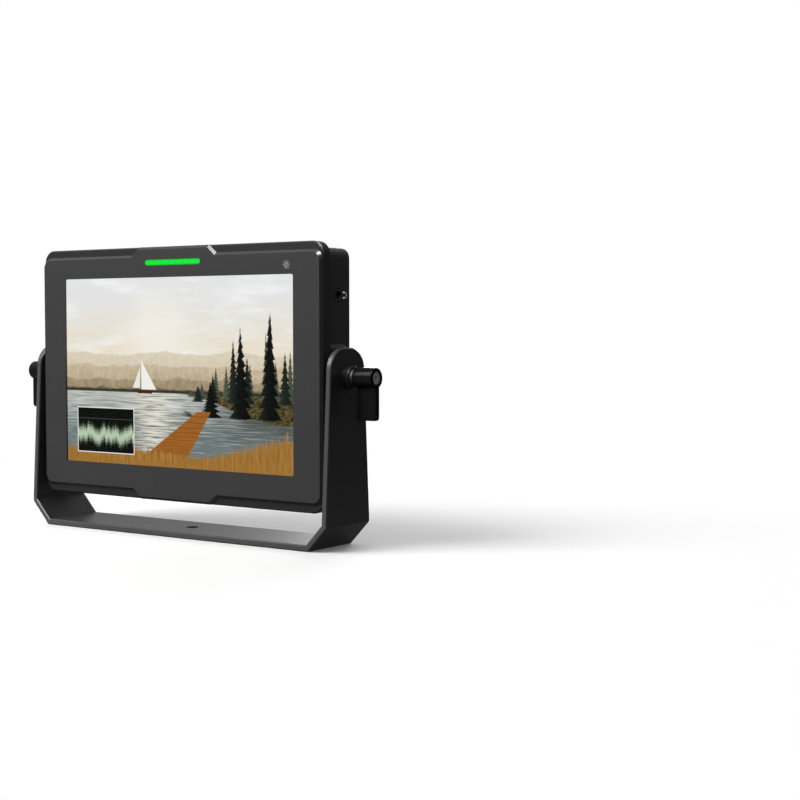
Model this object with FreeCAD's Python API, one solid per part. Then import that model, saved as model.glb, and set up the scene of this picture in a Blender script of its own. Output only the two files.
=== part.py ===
import FreeCAD, Part
import math
import os

# A camera field monitor in a U bracket, in millimetres.
# Origin: centre of the bracket's base hole on its underside. X points right seen from the screen side,
# Y points to the rear, Z points up. The tilt axis runs along X, straight above the origin.

V = FreeCAD.Vector
ORIGIN = V(0, 0, 0)
RIGHT = V(1, 0, 0)
REAR = V(0, 1, 0)
UP = V(0, 0, 1)

# Allowances shared by every piece
overrun = 2.0
fit_gap = 0.1
turning_gap = 0.3
flat_gap = 0.1
port_gap = 0.3
plane_tolerance = 0.001
parallel_share = 1e-6

# U bracket
arm_clearance = 2.3
bracket_plate = 3.0
bracket_depth = 34.2
slope_run = 10.8
slope_rise = 11.5
taper_delay = 3.0
arm_head_rise = 13.7
arm_head_half_width = 12.75
arm_corner_radius = 10.5
bracket_chamfer = 0.5
base_hole_radius = 3.3
pivot_height = 80.2

# Front bezel
bezel_width = 184.0
bezel_height = 126.2
bezel_depth = 6.8
bezel_corner_radius = 6.5
bezel_chamfer = 0.6
face_to_pivot = 13.4
face_step = 1.6
face_margin = 3.85
face_corner_radius = 5.4
face_chamfer = 1.3
tab_width = 46.5
tab_flank_run = 4.6

# Screen stack
screen_side_border = 16.6
screen_top_border = 15.1
screen_bottom_border = 16.9
window_corner_radius = 1.0
glass_recess = 1.0
glass_thickness = 1.0
lcd_thickness = 1.4
module_border = 4.6
plate_border = 4.0
plate_thickness = 1.0
plate_screw_inset = 21.7
plate_screw_head_radius = 1.5
plate_screw_head_height = 0.8
plate_screw_radius = 0.8
plate_screw_bite = 3.0

# Tally light
tally_edge = 7.8
tally_length = 36.0
tally_height = 2.7
tally_proud = 0.1
led_board_length = 41.0
led_board_height = 4.0
led_board_thickness = 1.2

# Rear housing
housing_inset = 1.8
housing_end_inset = 2.6
housing_depth = 18.7
housing_wall = 2.0
housing_corner_radius = 5.0
housing_chamfer = 1.4
pad_half_height = 15.4
pad_half_depth = 6.6
pivot_boss_radius = 5.4
pivot_boss_length = 4.0
insert_radius = 4.4
insert_length = 7.4

# Case screws
case_side_inset = 6.0
case_end_inset = 7.0
case_boss_radius = 3.6
case_bore_radius = 2.1
case_floor = 3.6
case_head_radius = 1.9
case_head_height = 1.8
case_socket_radius = 0.9
case_socket_depth = 1.0
case_thread_radius = 1.15
case_thread_bite = 4.0

# Vent slots
vent_middle_share = 0.554839
vent_pitch_share = 0.0725806
vent_top_inset = 19.7
vent_columns = 9
vent_row_count = 3
vent_row_pitch = 3.9
vent_slot_width = 1.55
vent_slot_height = 3.2
vent_blind_depth = 1.2

# Heat sink
sink_proud = 3.6
sink_end_inset = 7.6
sink_end_run = 4.25
sink_wing_margin = 8.0
sink_waist_margin = 5.6
sink_waist_run = 4.2
sink_knee_margin = 0.5
sink_waist_radius = 6.0
sink_plug_side_inset = 2.5
sink_plug_end_inset = 6.5
sink_plug_depth = 3.5
slot_count = 19
wing_slot_count = 3
vesa_slot_steps = 16
label_edge_slot_count = 5
slot_width = 2.4
slot_depth = 2.7
wing_slot_share = 0.285714
label_inset = 7.95
label_height = 16.8
label_plate_thickness = 0.4
split_fin_slot_count = 4
fin_gap_height = 4.4
fin_gap_shares = (0.481951, 0.73561)
vesa_spacing = 75.0
vesa_hole_radius = 2.0

# Fan
fan_frame_size = 36.0
fan_rim = 1.5
fan_ring_width = 4.2
fan_frame_depth = 7.0
fan_frame_corner_radius = 3.0
fan_back_thickness = 1.0
fan_inlet_lip = 2.0
fan_motor_lip = 2.5
fan_spoke_width = 2.5
fan_shaft_radius = 1.0
fan_shaft_gap = 0.05
fan_rotor_gap = 0.6
fan_hub_share = 0.515152
fan_blade_count = 9
fan_blade_thickness = 0.8
fan_blade_lean = 32.0

# Main board and what sits on it
board_front = 2.0
board_thickness = 1.6
board_side_inset = 10.0
board_top_inset = 17.1
board_bottom_inset = 9.1
board_fan_margin = 1.2
standoff_radius = 2.5
standoff_side_inset = 38.0
standoff_top_inset = 6.0
standoff_bottom_inset = 4.0
board_screw_head_radius = 2.2
board_screw_head_height = 1.3
board_screw_radius = 1.2
board_screw_bite = 2.6
chip_size = 24.0
chip_thickness = 2.0
chip_fan_gap = 9.0
thermal_pad_thickness = 1.0

# Coaxial video jacks
bnc_inset = 22.2
bnc_top_share = 0.199683
bnc_pitch_share = 0.142631
bnc_count = 4
bnc_body_radius = 5.4
bnc_thread_radius = 4.6
bnc_neck_radius = 4.1
bnc_barrel_radius = 4.8
bnc_bore_radius = 4.05
bnc_length = 12.6
bnc_bore_depth = 8.6
bnc_washer_radius = 6.6
bnc_washer_thickness = 0.6
bnc_nut_radius = 5.8
bnc_nut_thickness = 3.0
bnc_barrel_length = 5.0
bnc_lug_radius = 1.0
bnc_lug_reach = 5.8
bnc_lug_setback = 3.2
bnc_plug_floor = 1.6
bnc_sleeve_radius = 2.3
bnc_sleeve_setback = 2.4
bnc_contact_radius = 1.4
bnc_contact_bore = 0.6
bnc_contact_proud = 0.4
bnc_contact_length = 6.0

# Flat video sockets
hdmi_inset = 19.0
hdmi_rise_shares = (0.196513, 0.071315)
hdmi_width = 15.1
hdmi_height = 6.0
hdmi_corner = 1.9
hdmi_wall = 0.6
hdmi_proud = 0.4
hdmi_tongue_width = 11.0
hdmi_tongue_thickness = 1.4
hdmi_tongue_setback = 1.6

# Data socket
usb_inset = 18.4
usb_foot = 17.4
usb_width = 14.4
usb_height = 7.4
usb_wall = 0.7
usb_proud = 0.4
usb_corner_radius = 0.5
usb_tongue_width = 11.6
usb_tongue_thickness = 2.0
usb_tongue_rise = 1.2
usb_tongue_setback = 0.8
socket_floor = 1.5

# Small round jacks
jack_bore_radius = 1.8
jack_bore_depth = 10.0
jack_neck_radius = 3.0
jack_body_size = 7.0
jack_proud = 0.6
tally_jack_inset = 18.9
tally_jack_drop_share = 0.05626
phone_jack_y = 2.1
phone_jack_inset = 24.8
phone_jack_body_height = 6.6
phone_jack_body_depth = 5.0
phone_jack_length = 12.4

# Power inlet
dc_inset = 18.6
dc_foot = 17.8
dc_body_size = 10.0
dc_thread_radius = 3.9
dc_nut_across = 10.6
hexagon_side_count = 6
dc_nut_thickness = 2.0
dc_proud = 2.9
dc_bore_radius = 2.8
dc_bore_depth = 9.0
dc_pin_radius = 1.05
dc_pin_setback = 0.8

# Rocker switch
rocker_inset = 19.0
rocker_drop_share = 0.204437
switch_flange_width = 11.3
switch_flange_height = 15.4
switch_flange_thickness = 0.8
switch_body_width = 9.9
switch_body_height = 14.0
switch_floor = 2.4
rocker_width = 7.8
rocker_half_length = 5.7
rocker_side_gap = 0.3
rocker_end_gap = 0.8
rocker_swing = 10.0
rocker_pivot_depth = 2.3
rocker_centre_height = 1.6
rocker_skirt = 0.5
rocker_foot_half_length = 2.4
rocker_foot_depth = 2.8
trunnion_radius = 0.8
trunnion_length = 0.5
trunnion_gap = 0.05

# Top buttons
menu_button_inset = 18.0
button_pitch = 14.5
function_button_inset = 62.0
power_button_inset = 19.0
button_setback = 5.5
button_length = 9.8
button_width = 3.6
button_corner_radius = 1.0
button_crown = 0.5
button_proud = 1.2
button_gap = 0.2
button_flange = 0.8
button_flange_thickness = 1.2
button_stem_radius = 1.2
button_travel = 0.6
button_rest_gap = 0.15
tact_height = 2.4
tact_length = 4.4
tact_width = 3.0
button_board_thickness = 1.2
button_board_depth = 8.0
button_board_inset = 12.0
button_board_drop = 5.8
button_post_inset = 40.0
button_post_width = 4.0
button_post_height = 3.0

# Speaker behind one group of vents
speaker_diamond_count = 3
speaker_edge = 1.0
speaker_height = 13.0
speaker_depth = 4.5
speaker_corner_radius = 3.0
speaker_magnet_radius = 6.0
speaker_magnet_depth = 3.0
speaker_cone_radius = 5.4
speaker_cone_depth = 2.0

# Tilt clamps
friction_washer_radius = 6.4
stud_radius = 3.0
stud_reach = 5.2
collar_radius = 5.4
collar_length = 3.5
stud_ring_radius = 4.2
stud_ring_length = 1.8
hub_radius = 4.8
hub_length = 10.8
hub_edge_radius = 0.6
hub_web = 1.9
cap_screw_radius = 3.0
cap_screw_inset = 0.4
cap_screw_recess = 3.0
cap_screw_thread_radius = 1.4
cap_screw_bite = 6.0
cap_socket_radius = 1.1
cap_socket_depth = 1.2
lever_width = 11.3
lever_length = 19.7
lever_thickness = 2.8
lever_corner_radius = 1.6
lever_drop = 3.6
lever_bevel = 0.5

# Levels worked out from the sizes above
half_width = bezel_width / 2
half_height = bezel_height / 2
bezel_top_z = pivot_height + half_height
bezel_bottom_z = pivot_height - half_height
screen_width = bezel_width - 2 * screen_side_border
screen_height = bezel_height - screen_top_border - screen_bottom_border
screen_z = pivot_height + (screen_bottom_border - screen_top_border) / 2
tally_z = bezel_top_z - tally_edge
face_y = -face_to_pivot
step_y = face_y + face_step
glass_y = face_y + glass_recess
lcd_y = glass_y + glass_thickness
backlight_y = lcd_y + lcd_thickness
bezel_rear_y = face_y + bezel_depth
plate_rear_y = bezel_rear_y + plate_thickness
module_width = screen_width + 2 * module_border
module_height = screen_height + 2 * module_border
plate_screw_spacing = module_height - 2 * plate_screw_inset
housing_width = bezel_width - 2 * housing_inset
housing_height = bezel_height - 2 * housing_end_inset
housing_rear_y = bezel_rear_y + housing_depth
housing_inner_y = housing_rear_y - housing_wall
housing_top_z = pivot_height + housing_height / 2
housing_ceiling_z = housing_top_z - housing_wall
pad_x = half_width
arm_inner_x = half_width + arm_clearance
arm_outer_x = arm_inner_x + bracket_plate
arm_top_z = pivot_height + arm_head_rise
case_screw_x = half_width - case_side_inset
case_screw_z = half_height - case_end_inset
sink_half_height = half_height - sink_end_inset
sink_rear_half_height = sink_half_height - sink_end_run
sink_wing_half_width = vesa_spacing / 2 + sink_wing_margin
sink_waist_half_width = vesa_spacing / 2 - sink_waist_margin
sink_knee_height = vesa_spacing / 2 + sink_knee_margin
sink_plug_half_width = sink_waist_half_width - sink_plug_side_inset
sink_plug_half_height = sink_half_height - sink_plug_end_inset
wing_slot_reach = sink_knee_height + (sink_half_height - sink_knee_height) * wing_slot_share
label_rise = sink_rear_half_height - label_inset - label_height / 2
side_space = half_width - sink_wing_half_width
vent_centre_x = sink_wing_half_width + side_space * vent_middle_share
vent_column_pitch = side_space * vent_pitch_share
vent_centre_z = half_height - vent_top_inset
speaker_width = (vent_columns - 1) * vent_column_pitch + speaker_edge
sink_rear_y = housing_rear_y + sink_proud
sink_base_y = housing_rear_y - sink_plug_depth
slot_floor_y = sink_rear_y - slot_depth
slot_pitch = vesa_spacing / vesa_slot_steps
fan_opening_radius = fan_frame_size / 2 - fan_rim
fan_core_radius = fan_opening_radius - fan_ring_width
fan_hub_radius = fan_opening_radius * fan_hub_share
fan_inlet_outer_radius = fan_opening_radius - fan_inlet_lip
fan_inlet_inner_radius = fan_hub_radius - fan_motor_lip
fan_z = pivot_height - sink_plug_half_height + fan_frame_size / 2
board_front_y = -board_front
board_rear_y = board_front_y + board_thickness
chip_rear_y = board_rear_y + chip_thickness
pad_rear_y = chip_rear_y + thermal_pad_thickness
chip_z = fan_z + fan_frame_size / 2 + chip_fan_gap + chip_size / 2
board_half_width = half_width - board_side_inset
board_top = half_height - board_top_inset
board_bottom = half_height - board_bottom_inset
standoff_x = half_width - standoff_side_inset
bnc_x = half_width - bnc_inset
bnc_top = bezel_height * bnc_top_share
bnc_pitch = bezel_height * bnc_pitch_share
hdmi_x = hdmi_inset - half_width
usb_x = half_width - usb_inset
usb_z = bezel_bottom_z + usb_foot
tally_jack_x = tally_jack_inset - half_width
tally_jack_z = pivot_height - bezel_height * tally_jack_drop_share
phone_jack_z = bezel_top_z - phone_jack_inset
dc_x = dc_inset - half_width
dc_z = bezel_bottom_z + dc_foot
rocker_x = rocker_inset - half_width
menu_button_x = half_width - menu_button_inset
function_button_x = function_button_inset - half_width
power_button_x = power_button_inset - half_width
button_board_half_length = half_width - button_board_inset
button_post_x = half_width - button_post_inset
button_y = housing_rear_y - button_setback
button_board_z = housing_ceiling_z - button_board_drop
tact_top_z = button_board_z + tact_height
rocker_pivot_y = housing_rear_y + switch_flange_thickness - rocker_pivot_depth
rocker_z = pivot_height - bezel_height * rocker_drop_share
collar_x = arm_outer_x + flat_gap
stud_ring_x = collar_x + collar_length + flat_gap
hub_x = stud_ring_x + stud_ring_length
hub_end_x = hub_x + hub_length
cap_seat_x = hub_end_x - cap_screw_recess
stud_end_x = cap_seat_x - hub_web
stud_start_x = pad_x - stud_reach


def slab(x, z, width, height, y0, y1, radius=0):
    """Upright plate centred on x and z, from y0 to y1, with rounded corners where a radius is given."""
    shape = Part.makeBox(width, y1 - y0, height, V(x - width / 2, y0, z - height / 2))
    if radius:
        shape = shape.makeFillet(radius, edges_along(shape, REAR))
    return shape


def rod_x(radius, x0, x1, y=0, z=pivot_height):
    """Cylinder along X, on the tilt axis unless told otherwise."""
    return Part.makeCylinder(radius, x1 - x0, V(x0, y, z), RIGHT)


def rod_y(radius, x, z, y0, y1):
    """Cylinder along Y."""
    return Part.makeCylinder(radius, y1 - y0, V(x, y0, z), REAR)


def rod_z(radius, x, y, z0, z1):
    """Cylinder along Z."""
    return Part.makeCylinder(radius, z1 - z0, V(x, y, z0), UP)


def stadium(x, z, width, height, y0, y1):
    """Plate with fully round ends, lying or standing after which of width and height is larger."""
    radius = min(width, height) / 2
    reach_x = width / 2 - radius
    reach_z = height / 2 - radius
    middle = slab(x, z, max(width - 2 * radius, 2 * radius), max(height - 2 * radius, 2 * radius), y0, y1)
    ends = [rod_y(radius, x + side * reach_x, z + side * reach_z, y0, y1) for side in (-1, 1)]
    return middle.fuse(ends).removeSplitter()


def prism_y(points, y0, y1):
    """Outline of x and z points carried from y0 to y1."""
    corners = [V(x, y0, z) for x, z in points]
    return Part.Face(Part.makePolygon(corners + corners[:1])).extrude(REAR * (y1 - y0))


def prism_x(points, x0, x1):
    """Outline of y and z points carried from x0 to x1."""
    corners = [V(x0, y, z) for y, z in points]
    return Part.Face(Part.makePolygon(corners + corners[:1])).extrude(RIGHT * (x1 - x0))


def edges_along(shape, direction):
    """Straight edges that run along a direction."""
    return [e for e in shape.Edges
            if isinstance(e.Curve, Part.Line) and e.Curve.Direction.cross(direction).Length < parallel_share]


def edges_across(shape, direction):
    """Every edge that doesn't run along a direction."""
    along = edges_along(shape, direction)
    return [e for e in shape.Edges if not any(e.isSame(a) for a in along)]


def edges_at_y(shape, y):
    """Edges that lie in the upright plane at y."""
    return [e for e in shape.Edges
            if abs(e.BoundBox.YMin - y) < plane_tolerance and abs(e.BoundBox.YMax - y) < plane_tolerance]


def edges_at_x(shape, x):
    """Edges that lie in the side plane at x."""
    return [e for e in shape.Edges
            if abs(e.BoundBox.XMin - x) < plane_tolerance and abs(e.BoundBox.XMax - x) < plane_tolerance]


def upright_edges_at_x(shape, x):
    """Edges along Y at a distance x to either side of the middle."""
    return [e for e in edges_along(shape, REAR) if abs(abs(e.CenterOfMass.x) - x) < plane_tolerance]


def group(shapes):
    """Several separate solids kept under one name."""
    return Part.makeCompound(shapes)


def mirrored(shape):
    """The same piece on the other side."""
    return shape.mirror(ORIGIN, RIGHT)


def four_corners(x, z):
    """The four places at a distance x and z from the middle of the monitor."""
    return [(side * x, pivot_height + end * z) for side in (-1, 1) for end in (-1, 1)]


def save(node, shape):
    shape.exportStep("parts/" + node + ".step")


# U bracket: one plate bent into a base, two slopes and two arms

def bracket_section():
    """The bent plate seen from the front. Inner corners lie on the bisectors of the bends."""
    bend = math.atan2(slope_rise, slope_run)
    low_shift = bracket_plate * math.tan(bend / 2)
    high_shift = bracket_plate * math.tan((math.pi / 2 - bend) / 2)
    base_x = arm_outer_x - slope_run
    right = [(base_x, 0), (arm_outer_x, slope_rise), (arm_outer_x, arm_top_z), (arm_inner_x, arm_top_z),
             (arm_inner_x, slope_rise + high_shift), (base_x - low_shift, bracket_plate)]
    left = [(-x, z) for x, z in reversed(right)]
    return right + left


def arm_side_shape():
    """The side view: straight foot, tapering flanks and a head with wide round corners."""
    half = bracket_depth / 2
    start = slope_rise + taper_delay
    x0 = -arm_outer_x - overrun
    outline = [V(x0, half, 0), V(x0, half, start), V(x0, arm_head_half_width, arm_top_z),
               V(x0, -arm_head_half_width, arm_top_z), V(x0, -half, start), V(x0, -half, 0)]
    shape = Part.Face(Part.makePolygon(outline + outline[:1])).extrude(RIGHT * 2 * (arm_outer_x + overrun))
    tops = [e for e in edges_along(shape, RIGHT) if e.CenterOfMass.z > pivot_height]
    return shape.makeFillet(arm_corner_radius, tops)


def u_bracket():
    half = bracket_depth / 2
    plate = prism_y(bracket_section(), -half, half).common(arm_side_shape()).removeSplitter()
    seams = [e for e in edges_along(plate, RIGHT) if e.CenterOfMass.z > slope_rise]
    rims = [e for e in edges_across(plate, REAR) if not any(e.isSame(seam) for seam in seams)]
    plate = plate.makeChamfer(bracket_chamfer, rims)
    plate = plate.cut(rod_z(base_hole_radius, 0, 0, -overrun, bracket_plate + overrun))
    return plate.cut(rod_x(stud_radius + turning_gap, -arm_outer_x - overrun, arm_outer_x + overrun))


def friction_washers():
    washer = rod_x(friction_washer_radius, pad_x + flat_gap, arm_inner_x)
    washer = washer.cut(rod_x(stud_radius + turning_gap, pad_x, arm_inner_x + overrun))
    return group([washer, mirrored(washer)])


# Front bezel and the screen stack behind it

def raised_face_outline():
    """The raised front face: short of the top and bottom edges except for the middle tabs."""
    half = half_width
    tab = tab_width / 2
    shoulder = tab + tab_flank_run
    upper = bezel_top_z - face_margin
    lower = bezel_bottom_z + face_margin
    right = [(tab, bezel_bottom_z), (shoulder, lower), (half, lower),
             (half, upper), (shoulder, upper), (tab, bezel_top_z)]
    return right + [(-x, z) for x, z in reversed(right)]


def front_bezel():
    base = slab(0, pivot_height, bezel_width, bezel_height, step_y, bezel_rear_y, bezel_corner_radius)
    base = base.makeChamfer(bezel_chamfer, edges_at_y(base, step_y))
    raised = prism_y(raised_face_outline(), face_y, face_y + bezel_depth / 2)
    raised = raised.makeFillet(face_corner_radius, upright_edges_at_x(raised, half_width))
    raised = raised.makeChamfer(face_chamfer, edges_at_y(raised, face_y))
    bezel = base.fuse(raised).removeSplitter()
    cuts = [slab(0, screen_z, screen_width, screen_height, face_y - overrun, lcd_y, window_corner_radius),
            slab(0, screen_z, module_width + 2 * fit_gap, module_height + 2 * fit_gap,
                 glass_y, bezel_rear_y + overrun),
            stadium(0, tally_z, tally_length + 2 * fit_gap, tally_height + 2 * fit_gap,
                    face_y - overrun, bezel_rear_y + overrun),
            slab(0, tally_z, led_board_length + 2 * fit_gap, led_board_height + 2 * fit_gap,
                 bezel_rear_y - led_board_thickness, bezel_rear_y + overrun)]
    cuts += [rod_y(case_thread_radius + fit_gap / 2, x, z,
                   bezel_rear_y - case_thread_bite, bezel_rear_y + overrun)
             for x, z in four_corners(case_screw_x, case_screw_z)]
    cuts += [rod_y(plate_screw_radius + fit_gap / 2, x, z,
                   bezel_rear_y - plate_screw_bite, bezel_rear_y + overrun)
             for x, z in plate_screw_places()]
    return bezel.cut(cuts)


def screen_layer(y0, y1):
    return slab(0, screen_z, module_width, module_height, y0, y1)


def plate_screw_places():
    """Four screws down the sides of the panel plate, in the strip that overlaps the bezel."""
    x = module_width / 2 + plate_border / 2
    return [(side * x, screen_z + end * plate_screw_spacing / 2) for side in (-1, 1) for end in (-1, 1)]


def panel_plate():
    plate = slab(0, screen_z, module_width + 2 * plate_border, module_height, bezel_rear_y, plate_rear_y)
    holes = [rod_y(plate_screw_radius + fit_gap / 2, x, z, bezel_rear_y - overrun, plate_rear_y + overrun)
             for x, z in plate_screw_places()]
    return plate.cut(holes)


def panel_screws():
    screws = []
    for x, z in plate_screw_places():
        head = rod_y(plate_screw_head_radius, x, z, plate_rear_y, plate_rear_y + plate_screw_head_height)
        shank = rod_y(plate_screw_radius, x, z, bezel_rear_y - plate_screw_bite, plate_rear_y)
        screws.append(head.fuse(shank))
    return group(screws)


def tally_light_bar():
    return stadium(0, tally_z, tally_length, tally_height,
                   face_y - tally_proud, bezel_rear_y - led_board_thickness)


def tally_led_board():
    return slab(0, tally_z, led_board_length, led_board_height,
                bezel_rear_y - led_board_thickness, bezel_rear_y)


# Rear housing

def pivot_pad():
    """Raised pad on the right side, flush with the bezel, with ends that slope down to the wall."""
    wall_x = housing_width / 2
    outline = [(wall_x - housing_wall, pivot_height - pad_half_height),
               (wall_x, pivot_height - pad_half_height),
               (pad_x, pivot_height - pad_half_height + housing_inset),
               (pad_x, pivot_height + pad_half_height - housing_inset),
               (wall_x, pivot_height + pad_half_height),
               (wall_x - housing_wall, pivot_height + pad_half_height)]
    return prism_y(outline, -pad_half_depth, pad_half_depth)


def vent_slots(side, is_open):
    """Staggered slots, three and two to a column. Blind ones stop inside the wall."""
    slots = []
    for column in range(vent_columns):
        from_middle = column - (vent_columns - 1) / 2
        rows = vent_row_count - column % 2
        for row in range(rows):
            x = side * vent_centre_x + from_middle * vent_column_pitch
            z = pivot_height + vent_centre_z + (row - (rows - 1) / 2) * vent_row_pitch
            floor = housing_inner_y - overrun if is_open(from_middle, row - (rows - 1) / 2) \
                else housing_rear_y - vent_blind_depth
            slots.append(stadium(x, z, vent_slot_width, vent_slot_height, floor, housing_rear_y + overrun))
    return slots


def speaker_slot_is_open(column, row):
    """The open speaker slots form a diamond in the middle of the field."""
    return abs(column) + 2 * abs(row) < speaker_diamond_count


def every_slot_is_open(column, row):
    return True


def port_cutters():
    """Openings in the rear wall for every socket, each a little larger than what passes through."""
    y0 = housing_inner_y - overrun
    y1 = housing_rear_y + overrun
    cutters = [rod_y(bnc_thread_radius + port_gap, bnc_x, z, y0, y1) for z in bnc_heights()]
    cutters += [prism_y(hdmi_outline(hdmi_x, z, port_gap), y0, y1) for z in hdmi_heights()]
    cutters.append(slab(usb_x, usb_z, usb_width + 2 * port_gap, usb_height + 2 * port_gap,
                        y0, y1, usb_corner_radius))
    cutters.append(rod_y(jack_neck_radius + port_gap, tally_jack_x, tally_jack_z, y0, y1))
    cutters.append(slab(rocker_x, rocker_z, switch_body_width + 2 * port_gap,
                        switch_body_height + 2 * port_gap, y0, y1))
    cutters.append(rod_y(dc_thread_radius + port_gap, dc_x, dc_z, y0, y1))
    cutters.append(rod_x(jack_neck_radius + port_gap, housing_width / 2 - housing_wall - overrun,
                         housing_width / 2 + overrun, phone_jack_y, phone_jack_z))
    return cutters


def button_cutters():
    """Slots in the top wall for the button caps."""
    cutters = []
    length = button_length + 2 * button_gap
    width = button_width + 2 * button_gap
    for x in button_places().values():
        slot = Part.makeBox(length, width, housing_wall + 2 * overrun,
                            V(x - length / 2, button_y - width / 2, housing_ceiling_z - overrun))
        cutters.append(slot.makeFillet(button_corner_radius, edges_along(slot, UP)))
    return cutters


def button_posts():
    """Two short posts on the rear wall that carry the button board."""
    z = button_board_z - button_board_thickness - button_post_height / 2
    return [slab(side * button_post_x, z, button_post_width, button_post_height, button_y, housing_inner_y
                 + housing_wall / 2) for side in (-1, 1)]


def rear_housing():
    outer = slab(0, pivot_height, housing_width, housing_height,
                 bezel_rear_y, housing_rear_y, housing_corner_radius)
    outer = outer.makeChamfer(housing_chamfer, edges_at_y(outer, housing_rear_y))
    inner = slab(0, pivot_height, housing_width - 2 * housing_wall, housing_height - 2 * housing_wall,
                 bezel_rear_y - overrun, housing_inner_y, housing_corner_radius - housing_wall)
    bosses = [rod_y(case_boss_radius, x, z, bezel_rear_y, housing_rear_y)
              for x, z in four_corners(case_screw_x, case_screw_z)]
    boss_start = housing_width / 2 - housing_wall - pivot_boss_length
    bosses.append(rod_x(pivot_boss_radius, boss_start, housing_width / 2))
    bosses.append(rod_x(pivot_boss_radius, -housing_width / 2, -boss_start))
    filled = [boss.common(outer) for boss in bosses]
    pads = [pivot_pad(), mirrored(pivot_pad())]
    shell = outer.cut(inner).fuse(filled + pads + button_posts()).removeSplitter()
    cuts = [rod_x(insert_radius + fit_gap / 2, boss_start - overrun, pad_x + overrun),
            rod_x(insert_radius + fit_gap / 2, -pad_x - overrun, overrun - boss_start),
            slab(0, pivot_height, 2 * (sink_plug_half_width + port_gap),
                 2 * (sink_plug_half_height + port_gap),
                 housing_inner_y - overrun, housing_rear_y + overrun)]
    for x, z in four_corners(case_screw_x, case_screw_z):
        cuts.append(rod_y(case_bore_radius, x, z, bezel_rear_y + case_floor, housing_rear_y + overrun))
        cuts.append(rod_y(case_thread_radius + fit_gap, x, z, bezel_rear_y - overrun, housing_rear_y))
    cuts += vent_slots(1, every_slot_is_open) + vent_slots(-1, speaker_slot_is_open)
    return shell.cut(cuts + port_cutters() + button_cutters())


def pivot_inserts():
    """Threaded inserts in the side pads, one each side."""
    insert = rod_x(insert_radius, pad_x - insert_length, pad_x)
    insert = insert.cut(rod_x(stud_radius + fit_gap, pad_x - insert_length - overrun, pad_x + overrun))
    return group([insert, mirrored(insert)])


def case_screws():
    screws = []
    seat_y = bezel_rear_y + case_floor
    for x, z in four_corners(case_screw_x, case_screw_z):
        head = rod_y(case_head_radius, x, z, seat_y, seat_y + case_head_height)
        head = head.cut(hexagon(case_socket_radius, x, z, seat_y + case_head_height - case_socket_depth,
                                seat_y + case_head_height + overrun))
        shank = rod_y(case_thread_radius, x, z, bezel_rear_y - case_thread_bite, seat_y)
        screws.append(head.fuse(shank))
    return group(screws)


def hexagon(radius, x, z, y0, y1):
    """Hexagonal bar along Y with its corners at the radius."""
    turns = [2 * math.pi / hexagon_side_count * k for k in range(hexagon_side_count)]
    return prism_y([(x + radius * math.cos(t), z + radius * math.sin(t)) for t in turns], y0, y1)


# Heat sink with its fins, and the fan under it

def sink_body():
    """The waisted outline: wide wings at both ends, slanting in to the waist, with rounded inner corners."""
    wing = sink_wing_half_width
    waist = sink_waist_half_width
    end = sink_half_height
    knee = sink_knee_height
    neck = knee - (wing - waist)
    right = [(wing, -end), (wing, -knee), (waist, -neck), (waist, neck), (wing, knee), (wing, end)]
    outline = right + [(-x, z) for x, z in reversed(right)]
    shape = prism_y([(x, pivot_height + z) for x, z in outline], housing_rear_y, sink_rear_y)
    return shape.makeFillet(sink_waist_radius, upright_edges_at_x(shape, waist))


def waist_slope():
    """The wall along the right-hand waist, which slopes out from the rear face to the housing."""
    waist = sink_waist_half_width
    reach = sink_knee_height - sink_wing_half_width + waist + sink_waist_run
    section = [(waist - sink_waist_run, housing_rear_y), (waist + sink_waist_run, housing_rear_y),
               (waist, sink_rear_y), (waist - sink_waist_run, sink_rear_y)]
    corners = [V(x, y, pivot_height - reach) for x, y in section]
    return Part.Face(Part.makePolygon(corners + corners[:1])).extrude(UP * 2 * reach)


def sink_end_wedge(end):
    """What the sloping top or bottom end of the heat sink leaves out."""
    slope = (sink_half_height - sink_rear_half_height) / sink_proud
    past = sink_rear_y + overrun
    outline = [(housing_rear_y, sink_half_height), (past, sink_rear_half_height - slope * overrun),
               (past, sink_half_height + overrun), (housing_rear_y, sink_half_height + overrun)]
    reach = sink_wing_half_width + overrun
    return prism_x([(y, pivot_height + end * z) for y, z in outline], -reach, reach)


def slot_x(number):
    """Place of a slot counted from the left, with the middle slot on the centre line."""
    return (number - (slot_count - 1) / 2) * slot_pitch


def fin_slots():
    """Full-length slots in the middle, short round-ended ones in the wings."""
    cutters = []
    past = sink_rear_y + overrun
    for number in range(slot_count):
        x = slot_x(number)
        if wing_slot_count <= number < slot_count - wing_slot_count:
            length = 2 * (sink_half_height + overrun)
            cutters.append(slab(x, pivot_height, slot_width, length, slot_floor_y, past))
            continue
        inner = wing_slot_reach + slot_width / 2
        length = sink_half_height + overrun - inner
        for end in (-1, 1):
            middle = pivot_height + end * (inner + length / 2)
            cutters.append(slab(x, middle, slot_width, length, slot_floor_y, past))
            cutters.append(rod_y(slot_width / 2, x, pivot_height + end * inner, slot_floor_y, past))
    return cutters


def fin_gaps():
    """Two short breaks in one fin near each side."""
    between = abs(slot_x(split_fin_slot_count - 1) + slot_x(split_fin_slot_count)) / 2
    return [slab(side * between, pivot_height - sink_rear_half_height * share, slot_pitch, fin_gap_height,
                 slot_floor_y, sink_rear_y + overrun)
            for side in (-1, 1) for share in fin_gap_shares]


def label_field_width():
    """The field takes in every slot but the outer few on each side."""
    return 2 * abs(slot_x(label_edge_slot_count)) + slot_width


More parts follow.
